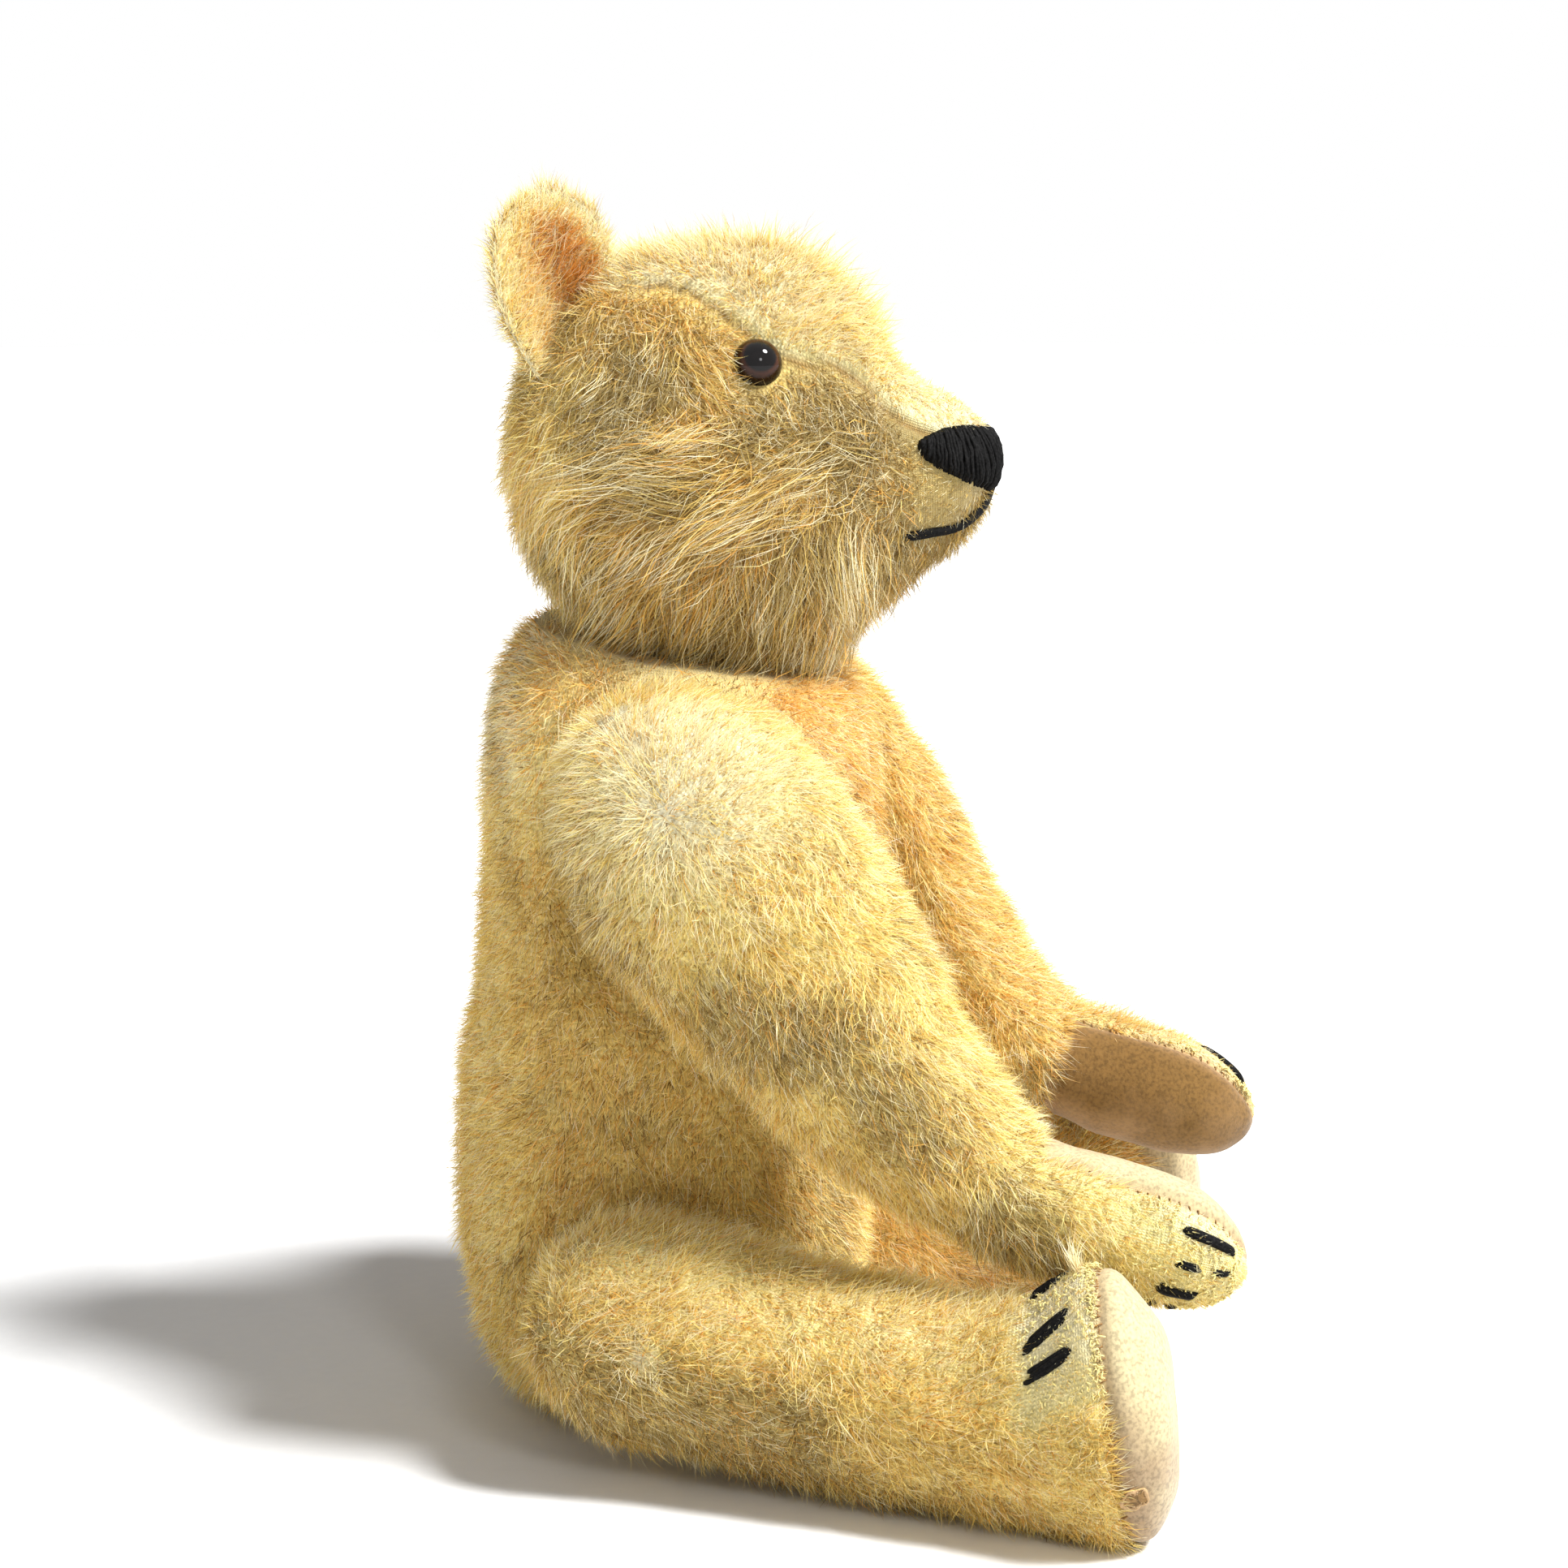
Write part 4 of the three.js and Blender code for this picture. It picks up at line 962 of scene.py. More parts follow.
def cloth_finish(sizes):
    """Mohair backing: woven threads, cropped pile and the soiling painted on the cover"""
    material, tree, shader = nodes_of("mohair_cloth")
    if tree is None:
        return material
    tone = add(tree, "ShaderNodeAttribute", attribute_name="tone").outputs["Color"]
    where = add(tree, "ShaderNodeTexCoord").outputs["Object"]
    fluff = add(tree, "ShaderNodeTexNoise", inputs={"Vector": where, "Scale": 1500.0, "Detail": 3.0})
    blotch = add(tree, "ShaderNodeTexNoise", inputs={"Vector": where, "Scale": 160.0, "Detail": 4.0})
    weave = weave_height(tree, sizes.weave)
    colour = mixed(tree, 1.0, tone, ramp(tree, fluff.outputs["Fac"], [(0.3, 0.72), (0.7, 1.12)]), "MULTIPLY")
    colour = mixed(tree, 1.0, colour, ramp(tree, weave, [(0.0, 0.8), (0.6, 1.06)]), "MULTIPLY")
    colour = mixed(tree, 1.0, colour, ramp(tree, blotch.outputs["Fac"], [(0.35, 0.9), (0.65, 1.05)]), "MULTIPLY")
    tree.links.new(colour, shader.inputs["Base Color"])
    mix = add(tree, "ShaderNodeMath", operation="ADD", inputs={0: weave, 1: fluff.outputs["Fac"]}).outputs[0]
    bump = add(tree, "ShaderNodeBump", inputs={"Strength": 0.6, "Distance": 0.0004, "Height": mix})
    tree.links.new(bump.outputs[0], shader.inputs["Normal"])
    shader.inputs["Roughness"].default_value = 0.95
    shader.inputs["Specular IOR Level"].default_value = 0.15
    shader.inputs["Sheen Weight"].default_value = 0.3
    return material


def felt_finish(colours):
    """Wool felt: matted fibres, flecks and rubbed soiling"""
    material, tree, shader = nodes_of("wool_felt")
    if tree is None:
        return material
    tone = add(tree, "ShaderNodeAttribute", attribute_name="tone").outputs["Color"]
    where = add(tree, "ShaderNodeTexCoord").outputs["Object"]
    matted = add(tree, "ShaderNodeTexNoise", inputs={"Vector": where, "Scale": 900.0, "Detail": 5.0, "Roughness": 0.7})
    flecks = add(tree, "ShaderNodeTexNoise", inputs={"Vector": where, "Scale": 1700.0, "Detail": 1.0})
    rubbed = add(tree, "ShaderNodeTexNoise", inputs={"Vector": where, "Scale": 90.0, "Detail": 3.0})
    colour = mixed(tree, 1.0, tone, ramp(tree, matted.outputs["Fac"], [(0.3, 0.86), (0.7, 1.08)]), "MULTIPLY")
    fleck_tone = ramp(tree, flecks.outputs["Fac"], [(0.3, 1.1), (0.5, 0.98), (0.66, 0.72)])
    colour = mixed(tree, 1.0, colour, fleck_tone, "MULTIPLY")
    soil_share = ramp(tree, rubbed.outputs["Fac"], [(0.5, 0.0), (0.75, 0.35)])
    colour = mixed(tree, soil_share, colour, tuple(linear(colours.felt_fleck)))
    tree.links.new(colour, shader.inputs["Base Color"])
    bump = add(tree, "ShaderNodeBump", inputs={"Strength": 0.5, "Distance": 0.0003, "Height": matted.outputs["Fac"]})
    tree.links.new(bump.outputs[0], shader.inputs["Normal"])
    shader.inputs["Roughness"].default_value = 0.95
    shader.inputs["Specular IOR Level"].default_value = 0.12
    shader.inputs["Sheen Weight"].default_value = 0.25
    return material


def thread_finish(name, colour, fuzz_and_sheen, roughness):
    """Twisted thread with fine plies and dust that are lighter than the thread by a factor; on black thread those light
    plies are partly painted highlights
    """
    material, tree, shader = nodes_of(name)
    if tree is None:
        return material
    where = add(tree, "ShaderNodeTexCoord").outputs["Object"]
    plies = add(tree, "ShaderNodeTexNoise", inputs={"Vector": where, "Scale": 2600.0, "Detail": 2.0})
    dust = add(tree, "ShaderNodeTexNoise", inputs={"Vector": where, "Scale": 420.0, "Detail": 3.0})
    light = tuple(min(1.0, c * fuzz_and_sheen + 0.01) for c in linear(colour))
    # Light plies: fuzz, and on black thread partly painted highlight streaks
    share = ramp(tree, plies.outputs["Fac"], [(0.45, 0.0), (0.75, 0.55)])
    tone = mixed(tree, share, tuple(linear(colour)), light)
    tone = mixed(tree, ramp(tree, dust.outputs["Fac"], [(0.58, 0.0), (0.8, 0.5)]), tone, light)
    tree.links.new(tone, shader.inputs["Base Color"])
    bump = add(tree, "ShaderNodeBump", inputs={"Strength": 0.5, "Distance": 0.0002, "Height": plies.outputs["Fac"]})
    tree.links.new(bump.outputs[0], shader.inputs["Normal"])
    shader.inputs["Roughness"].default_value = roughness
    shader.inputs["Specular IOR Level"].default_value = 0.1
    return material


def black_thread(colours):
    """Embroidery thread of the nose, mouth and claws, whose light plies are partly painted highlights"""
    return thread_finish("black_embroidery_thread", colours.thread, 5.0, 0.75)


def glass_eye_finish(colours):
    """Brown glass with a black pupil, read from how far each place is from the eye's middle"""
    material, tree, shader = nodes_of("brown_glass")
    if tree is None:
        return material
    ring = add(tree, "ShaderNodeAttribute", attribute_name="ring").outputs["Fac"]
    iris = tuple(linear(colours.iris))
    deep = tuple(c * 0.3 for c in iris)
    black = (0.004, 0.003, 0.003)
    colour = ramp(tree, ring, [(0.0, black), (0.6, black), (0.7, iris), (0.86, deep), (1.0, black)])
    where = add(tree, "ShaderNodeTexCoord").outputs["Object"]
    streaks = add(tree, "ShaderNodeTexNoise", inputs={"Vector": where, "Scale": 900.0, "Detail": 2.0})
    colour = mixed(tree, 1.0, colour, ramp(tree, streaks.outputs["Fac"], [(0.3, 0.7), (0.7, 1.25)]), "MULTIPLY")
    tree.links.new(colour, shader.inputs["Base Color"])
    shader.inputs["Roughness"].default_value = 0.06
    shader.inputs["Specular IOR Level"].default_value = 0.25
    return material


def inner_finish(name, colour, scale, contrast, roughness, metallic=0.0):
    """Finish of a piece inside the joints: base colour broken up by grain and dirt"""
    material, tree, shader = nodes_of(name)
    if tree is None:
        return material
    where = add(tree, "ShaderNodeTexCoord").outputs["Object"]
    grain = add(
        tree, "ShaderNodeTexNoise", inputs={"Vector": where, "Scale": scale, "Detail": 6.0, "Distortion": 1.5}
    )
    shade = ramp(tree, grain.outputs["Fac"], [(0.3, 1 - contrast), (0.7, 1.0)])
    tree.links.new(mixed(tree, 1.0, tuple(linear(colour)), shade, "MULTIPLY"), shader.inputs["Base Color"])
    bump = add(tree, "ShaderNodeBump", inputs={"Strength": 0.4, "Distance": 0.0003, "Height": grain.outputs["Fac"]})
    tree.links.new(bump.outputs[0], shader.inputs["Normal"])
    shader.inputs["Roughness"].default_value = roughness
    shader.inputs["Metallic"].default_value = metallic
    return material


# Meshes of covers, threads and eyes


def linked(name, mesh, material, body):
    """A finished piece in the scene, riding on its body"""
    piece = bpy.data.objects.new(name, mesh)
    bpy.context.scene.collection.objects.link(piece)
    mesh.materials.append(material)
    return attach(piece, body)


def cover_mesh(name, cloth, tone, map_size):
    """The cloth's grid as a smooth mesh with its painted tone and its map in metres"""
    mesh = bpy.data.meshes.new(name)
    mesh.from_pydata(cloth.points().tolist(), [], cloth.faces())
    painted = mesh.color_attributes.new("tone", "FLOAT_COLOR", "POINT")
    values = cloth.over_points(tone)
    painted.data.foreach_set("color", np.concatenate([values, np.ones((len(values), 1))], 1).ravel())
    across = cloth.over_points(cloth.angle / (2 * np.pi) * map_size[0])
    along = cloth.over_points(cloth.v * map_size[1])
    loops = np.empty(len(mesh.loops), int)
    mesh.loops.foreach_get("vertex_index", loops)
    u, v = across[loops], along[loops]
    starts = np.array([p.loop_start for p in mesh.polygons])
    counts = np.array([p.loop_total for p in mesh.polygons])
    for start, count in zip(starts, counts):
        part = u[start : start + count]
        if part.max() - part.min() > map_size[0] / 2:
            part[part < map_size[0] / 2] += map_size[0]
    cloth_map = mesh.uv_layers.new(name="Cloth")
    cloth_map.data.foreach_set("uv", np.stack([u, v], -1).ravel())
    mesh.shade_smooth()
    mesh.update()
    return mesh


def cloth_tone(colours, coat, site):
    """Colour of the cloth under the pile"""
    shade = palette(colours, coat.hue)
    shade = shade + (palette(colours, WARM_SHADE) - shade) * np.clip(coat.warm, 0, 1)[..., None]
    shade = shade + (palette(colours, SOIL_SHADE) - shade) * np.clip(coat.soil_and_shade, 0, 1)[..., None] * 0.8
    shade = shade + (linear(colours.rubbed) - shade) * np.clip(coat.rub, 0, 1)[..., None]
    return shade * (0.82 + 0.2 * mottle(site.point, 2.5 * MM, 51))[..., None]


def tube(points, radii, sides=7):
    """Vertices and faces of a round closed strand along the points"""
    points = np.asarray(points, float)
    along = unit(np.gradient(points, axis=0))
    first = np.cross(along[0], [0.31, 0.52, 0.79])
    frame_x = [unit(first)]
    for direction in along[1:]:
        frame_x.append(unit(frame_x[-1] - direction * np.dot(frame_x[-1], direction)))
    frame_x = np.array(frame_x)
    frame_y = np.cross(along, frame_x)
    turn = np.linspace(0, 2 * np.pi, sides, endpoint=False)
    ring = np.cos(turn)[None, :, None] * frame_x[:, None] + np.sin(turn)[None, :, None] * frame_y[:, None]
    vertices = (points[:, None] + ring * np.asarray(radii)[:, None, None]).reshape(-1, 3)
    faces = []
    for i in range(len(points) - 1):
        for k in range(sides):
            a, b = i * sides + k, i * sides + (k + 1) % sides
            faces.append((a, b, b + sides, a + sides))
    faces.append(tuple(reversed(range(sides))))
    faces.append(tuple(range((len(points) - 1) * sides, len(points) * sides)))
    return vertices, faces


def strands_mesh(name, strands, sides=7):
    """One mesh of many strands, each given as points and radii"""
    vertices, faces = [], []
    for points, radii in strands:
        some, around = tube(points, radii, sides)
        offset = sum(len(v) for v in vertices)
        faces += [tuple(offset + i for i in face) for face in around]
        vertices.append(some)
    mesh = bpy.data.meshes.new(name)
    mesh.from_pydata(np.concatenate(vertices).tolist(), [], faces)
    mesh.shade_smooth()
    mesh.update()
    return mesh


def resampled(points, count):
    """The curve through the points as a number of even steps"""
    points = np.asarray(points, float)
    return curve_through(points, np.linspace(0, 1, count))


def at_share(line, share):
    """The point at a share of a line's length"""
    reach = np.concatenate([[0], np.cumsum(np.linalg.norm(np.diff(line, axis=0), axis=1))])
    return np.array([np.interp(share * reach[-1], reach, line[:, a]) for a in range(3)])


def on_loft(loft, places, lift, count=12):
    """Points over a part's cloth through stations and angles in degrees, lifted off it"""
    places = resampled([(v, math.radians(a)) for v, a in places], count)
    lift = np.broadcast_to(lift, count)
    surface = loft.at(places[:, 0], places[:, 1])
    return surface + loft.facing(places[:, 0], places[:, 1]) * lift[:, None]


def arch(count, height, sunk):
    """Lift along a stitch that comes out of the cloth, lies on it and goes in again"""
    t = np.linspace(-1, 1, count)
    return height - (height + sunk) * np.abs(t) ** 6


# Pads: felt let into the cover, marked out by planes


class PadPlanes:
    """The felt's region: the far side of every plane, each given as a point and a direction"""

    def __init__(self, planes):
        self.planes = [(np.asarray(p), unit(np.asarray(n))) for p, n in planes]

    def inside(self, points):
        """Distance into the felt, negative outside it"""
        return np.min([(points - p) @ n for p, n in self.planes], axis=0)


def paw_planes(loft, label, side):
    """The palm's felt: past the wrist, on the side that the palm faces"""
    wrist = loft.core(PAW_SEAM)
    along = unit(loft.core(PAW_TIP) - wrist)
    up = unit(np.array([0, 0, 1.0]) - along * along[2])
    lean = math.radians(PALM_LEAN[label])
    facing = up * math.cos(lean) + np.array([-side, 0, 0]) * math.sin(lean)
    facing = facing - along * np.dot(facing, along)
    return PadPlanes([(wrist, facing), (wrist, along)])


def sole_planes(loft):
    """The sole's felt: ahead of the line from toe to heel"""
    toe, heel = loft.at(SOLE_SEAM, 0.0), loft.at(SOLE_SEAM, math.pi)
    rise = unit(toe - heel)
    facing = np.array([0, -1.0, 0])
    return PadPlanes([((toe + heel) / 2, facing - rise * np.dot(facing, rise))])


def cut_along(mesh, planes):
    """Cuts edges into the mesh where the planes meet it"""
    work = bmesh.new()
    work.from_mesh(mesh)
    for point, normal in planes.planes:
        everything = [*work.verts, *work.edges, *work.faces]
        bmesh.ops.bisect_plane(work, geom=everything, plane_co=Vector(point), plane_no=Vector(normal), dist=1e-6)
    return work


def split_pad(mesh, planes, name):
    """The mesh in two: what stays mohair and what becomes felt, and the seam's points in order"""
    work = cut_along(mesh, planes)
    felt = {f for f in work.faces if planes.inside(np.array(f.calc_center_median())) > 0}
    seam = [e for e in work.edges if len({f in felt for f in e.link_faces}) == 2]
    chain = in_order(seam)
    normals = np.array([v.normal for v in chain])
    points = np.array([v.co for v in chain])
    parts = []
    for part_name, keep_felt in ((mesh.name, False), (name, True)):
        half = work.copy()
        half.faces.ensure_lookup_table()
        gone = [half.faces[f.index] for f in indexed(work) if (f in felt) != keep_felt]
        bmesh.ops.delete(half, geom=gone, context="FACES")
        part = bpy.data.meshes.new(part_name)
        half.to_mesh(part)
        half.free()
        part.shade_smooth()
        parts.append(part)
    work.free()
    return (*parts, points, normals)


def indexed(work):
    """The faces in order, with their numbers up to date"""
    work.faces.index_update()
    work.faces.ensure_lookup_table()
    return list(work.faces)


def in_order(edges):
    """The vertices of a closed seam, one after another"""
    neighbours = {}
    for edge in edges:
        a, b = edge.verts
        neighbours.setdefault(a, []).append(b)
        neighbours.setdefault(b, []).append(a)
    start = next(iter(neighbours))
    chain, previous, current = [start], None, start
    while True:
        onward = [v for v in neighbours[current] if v is not previous and v not in chain[1:]]
        if not onward or onward[0] is start:
            return chain
        previous, current = current, onward[0]
        chain.append(current)


def evenly(points, normals, spacing):
    """Places at an even distance along a closed chain, with tangents and normals"""
    closed = np.concatenate([points, points[:1]])
    steps = np.linalg.norm(np.diff(closed, axis=0), axis=1)
    reach = np.concatenate([[0], np.cumsum(steps)])
    count = max(int(reach[-1] / spacing), 3)
    at = np.linspace(0, reach[-1], count, endpoint=False)

    def pick(field):
        return np.stack([np.interp(at, reach, field[:, a]) for a in range(3)], -1)

    even = pick(closed)
    along = unit(np.roll(even, -1, axis=0) - np.roll(even, 1, axis=0))
    return even, along, unit(pick(np.concatenate([normals, normals[:1]])))


def pad_stitches(name, points, normals, sizes, seed):
    """Small slanting stitches that hold the felt to the mohair, and the rolled edge between them"""
    rng = np.random.default_rng(seed)
    even, along, normal = evenly(points, normals, sizes.seam_stitch)
    across = unit(np.cross(along, normal))
    strands = []
    for p, direction, side, out in zip(even, along, across, normal):
        slant = side + direction * (0.25 + 0.3 * rng.random())
        reach = (0.5 + 0.35 * rng.random()) * MM
        t = np.linspace(-1, 1, 6)[:, None]
        lift = (0.25 - 0.75 * np.abs(t) ** 3) * MM
        jog = rng.normal(size=3) * 0.12 * MM
        strands.append((p + jog + slant * t * reach + out * lift, np.full(6, 0.12 * MM)))
    fine, _, fine_normal = evenly(points, normals, 1.2 * MM)
    wobble = rng.normal(size=(len(fine), 1)) * 0.08 * MM
    rolled = fine + fine_normal * wobble - fine_normal * 0.35 * MM
    rolled = np.concatenate([rolled, rolled[:1]])
    strands.append((rolled, np.full(len(rolled), 0.34 * MM)))
    return strands_mesh(name, strands, 5)


def claw_strands(loft, claws, edge, sizes, seed, worn=()):
    """Each claw as three strands of thread side by side"""
    rng = np.random.default_rng(seed)
    strands = []
    for index, (angles, start, end) in enumerate(claws):
        for offset in (-0.55, 0.0, 0.55):
            count = 14
            turns = [edge + angle + offset * 4.0 + rng.normal() * 0.4 for angle in angles]
            lift = arch(count, (0.55 - 0.25 * abs(offset)) * MM, 0.8 * MM)
            radius = np.full(count, sizes.claw_thread)
            if index in worn:
                gap = bell(np.linspace(-1, 1, count) - 0.1 * offset, 0.3)
                lift = lift - gap * 1.3 * MM
                radius = radius * (0.62 + 0.1 * offset)
            slip = rng.normal() * 0.004
            places = [(start + slip, turns[0]), ((start + end) / 2, sum(turns) / 2), (end + slip, turns[1])]
            path = on_loft(loft, places, lift, count)
            strands.append((path, radius))
    return strands


def bvh_of(cloth):
    """A search tree of the cloth's faces"""
    faces = cloth.faces()
    return BVHTree.FromPolygons([Vector(p) for p in cloth.points()], faces)


# The head


def head_relief(sizes):
    """Gusset seams drawn in from the ears over the eyes to the nose, the chin seam, and lumpy stuffing"""

    def relief(site):
        degrees = np.degrees(from_ridge(site))
        ends = smooth(0.03, 0.1, site.v) * smooth(0.97, 0.9, site.v)
        gusset = bell(degrees - gusset_angle(site.v), 3.2) * ends
        chin = bell(degrees - 180, 4) * ends
        lumps = (mottle(site.point, 9 * MM, 1) - 0.5) * 0.9 * MM + (mottle(site.point, 3.5 * MM, 2) - 0.5) * 0.35 * MM
        socket = np.zeros(site.v.shape)
        for side in (1, -1):
            centre, _ = eye_seat(side)
            socket += bell(np.linalg.norm(site.point - centre, axis=-1), 5.5 * MM)
        return lumps - sizes.seam_depth * (gusset + 0.8 * chin) - 1.0 * MM * socket

    return relief


def eye_seat(side):
    """Middle of an eye and the way that it looks out"""
    v, angle = EYE_PLACE[0], side * math.radians(EYE_PLACE[1] + EYE_SAG)
    out = HEAD.facing(np.float64(v), np.float64(angle))
    return HEAD.at(v, angle) - out * EYE_SINK, out


def off_the_nose(site):
    """Whether each place is clear of the nose stitches"""
    degrees = np.degrees(from_ridge(site))
    top = np.interp(site.v, *zip(*NOSE_TOP[::-1]))
    bottom = np.interp(site.v, *zip(*NOSE_BOTTOM[::-1]))
    return (site.v < 0.715) | (degrees < top - 2) | (degrees > bottom + 2)


def head_cloth(sizes):
    """The sewn head"""
    return Cloth(HEAD.at, *HEAD_GRID, head_relief(sizes))


class BEAR_OT_head(bpy.types.Operator):
    """Sew and stuff the head, and brush its pile"""

    bl_idname = "bear.head"
    bl_label = "Head Cover"

    def execute(self, context):
        sizes, colours = context.scene.bear_sizes, context.scene.bear_colours
        cloth = head_cloth(sizes)
        coat = head_coat(sizes, cloth.site())
        tone = cloth_tone(colours, coat, cloth.site())
        tone *= 1 - bell(gusset_distance(cloth.site()), 0.8 * MM)[..., None] * np.array(GUSSET_DIRT)
        mesh = cover_mesh("head_skin", cloth, tone, HEAD_MAP)
        skin = linked("head_skin", mesh, cloth_finish(sizes), "head")
        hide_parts("head_cover")
        eyes = [eye_seat(side)[0] for side in (1, -1)]

        def clear_of_eyes(site):
            near = np.min([np.linalg.norm(site.point - eye, axis=-1) for eye in eyes], axis=0)
            return (near > 3.9 * MM) & off_the_nose(site)

        wear = partial(head_coat, sizes)
        for seed, (layer, count) in enumerate(HEAD_TUFTS, 11):
            grow(layer, "head", cloth, wear, count, seed, "head", colours, sizes, clear_of_eyes)
        return {"FINISHED"}


def ear_shape(side):
    """A cupped half round whose hollow faces forward and out"""
    base = unit(np.array(EAR_BASE))
    rise = np.array(EAR_RISE)
    rise = unit(rise - base * np.dot(rise, base))
    back = unit(np.cross(rise, base))
    back = back if back[1] > 0 else -back
    root_ring = HEAD.at(EAR_ROOT[0], -math.radians(EAR_ROOT[1]))
    root = to_head(root_ring)

    def shape(v, angle):
        polar = np.pi * (1 - v)
        px, py, pz = np.sin(polar) * np.sin(angle), np.cos(polar), np.sin(polar) * np.cos(angle)
        height = EAR_HEIGHT * (py + EAR_FOOT) / (1 + EAR_FOOT)
        bow = EAR_CUP * (1 - px**2) * (1 - EAR_FOOT * py)
        flesh = EAR_THICKNESS / 2 * pz
        local = root + base * (EAR_WIDTH / 2 * px)[..., None] + rise * height[..., None]
        local = local + back * (bow + flesh - EAR_CUP / 2)[..., None]
        return from_head(local * [-side, 1, 1])

    return shape


def ear_coat(site):
    """Shaggy rim, orange hollow darkened toward rust in its fold as painted shade, and a back that is rubbed and soiled
    """
    coat = Coat(site.v.shape)
    polar = np.pi * (1 - site.v)
    front = -np.sin(polar) * np.cos(site.angle)
    edge = 1 - smooth(0.15, 0.55, np.abs(front))
    inside = smooth(0.4, 0.85, front)
    behind = smooth(0.1, 0.5, -front)
    coat.length = (2.3 + 0.8 * edge + 1.4 * inside - 0.9 * behind) * MM
    coat.length = coat.length * (0.8 + 0.4 * mottle(site.point, 4 * MM, 61))
    up = tangent(np.array([0, 0.25, 1.0]), site.normal)
    coat.flow = up
    coat.lean = 0.45 + 0.2 * inside
    coat.hue = 0.56 + 0.1 * edge - 0.2 * behind
    # Painted shade in the fold of the hollow, toward rust
    painted_fold_shade = inside * smooth(-0.35, 0.35, EAR_AHEAD * np.sin(polar) * np.sin(site.angle)) * smooth(1.0, 0.6, site.v)
    coat.warm = 0.9 * painted_fold_shade + 0.35 * inside * (1 - painted_fold_shade) + 0.08
    coat.deep = 0.16 * painted_fold_shade
    coat.soil_and_shade = 0.75 * behind + 0.2 * edge * smooth(0.7, 0.3, site.v)
    coat.pale = 0.12 + 0.15 * edge + 0.22 * inside * (1 - painted_fold_shade)
    coat.density = 1.0 + 0.4 * edge
    coat.clump = coat.clump + 0.25
    return coat


def ear_relief(site):
    """Lumps of the thin stuffing"""
    return (mottle(site.point, 4 * MM, 71) - 0.5) * 0.7 * MM


class BEAR_OT_ears(bpy.types.Operator):
    """Set the two cupped ears into the head"""

    bl_idname = "bear.ears"
    bl_label = "Ears"

    def execute(self, context):
        sizes, colours = context.scene.bear_sizes, context.scene.bear_colours
        head = bvh_of(head_cloth(sizes))

        def outside_head(site):
            found = [head.find_nearest(Vector(p)) for p in site.point]
            return np.array([(Vector(p) - near[0]).dot(near[1]) > 0 for p, near in zip(site.point, found)])

        for number, (label, side) in enumerate(SIDES):
            cloth = Cloth(ear_shape(side), *EAR_GRID, ear_relief)
            coat = ear_coat(cloth.site())
            name = f"ear_{label}_skin"
            mesh = cover_mesh(name, cloth, cloth_tone(colours, coat, cloth.site()), EAR_MAP)
            skin = linked(name, mesh, cloth_finish(sizes), "head")
            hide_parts(f"ear_{label}")
            for layer, count in EAR_TUFTS:
                grow(layer, f"ear_{label}", cloth, ear_coat, count, 81 + number, "head", colours, sizes, outside_head)
        return {"FINISHED"}


class BEAR_OT_eyes(bpy.types.Operator):
    """Set the glass eyes into the head"""

    bl_idname = "bear.eyes"
    bl_label = "Glass Eyes"

    def execute(self, context):
        sizes, colours = context.scene.bear_sizes, context.scene.bear_colours
        rows, columns = 24, 40
        for label, side in SIDES:
            centre, out = eye_seat(side)
            x = unit(np.cross(out, [0, 0, 1.0]))
            y = np.cross(x, out)
            polar = np.linspace(0, np.pi, rows)
            turn = np.linspace(0, 2 * np.pi, columns, endpoint=False)
            points, ring = [], []
            for a in polar:
                flatten = 1.0 if a < np.pi / 2 else 0.45
                for b in turn:
                    sideways = math.sin(a) * (x * math.cos(b) + y * math.sin(b))
                    points.append(centre + sizes.eye_radius * (sideways + out * math.cos(a) * flatten))
                    ring.append(min(math.sin(a), 1) if a < np.pi / 2 else 1.0)
            faces = []
            for i in range(rows - 1):
                for k in range(columns):
                    a, b = i * columns + k, i * columns + (k + 1) % columns
                    faces.append((a, a + columns, b + columns, b))
            mesh = bpy.data.meshes.new(f"eye_{label}_glass")
            mesh.from_pydata([tuple(p) for p in points], [], faces)
            values = mesh.attributes.new("ring", "FLOAT", "POINT")
            values.data.foreach_set("value", np.array(ring, np.float32))
            work = bmesh.new()
            work.from_mesh(mesh)
            bmesh.ops.remove_doubles(work, verts=work.verts, dist=1e-7)
            work.to_mesh(mesh)
            work.free()
            mesh.shade_smooth()
            eye = linked(f"eye_{label}_glass", mesh, glass_eye_finish(colours), "head")
            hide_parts(f"eye_{label}")
        return {"FINISHED"}


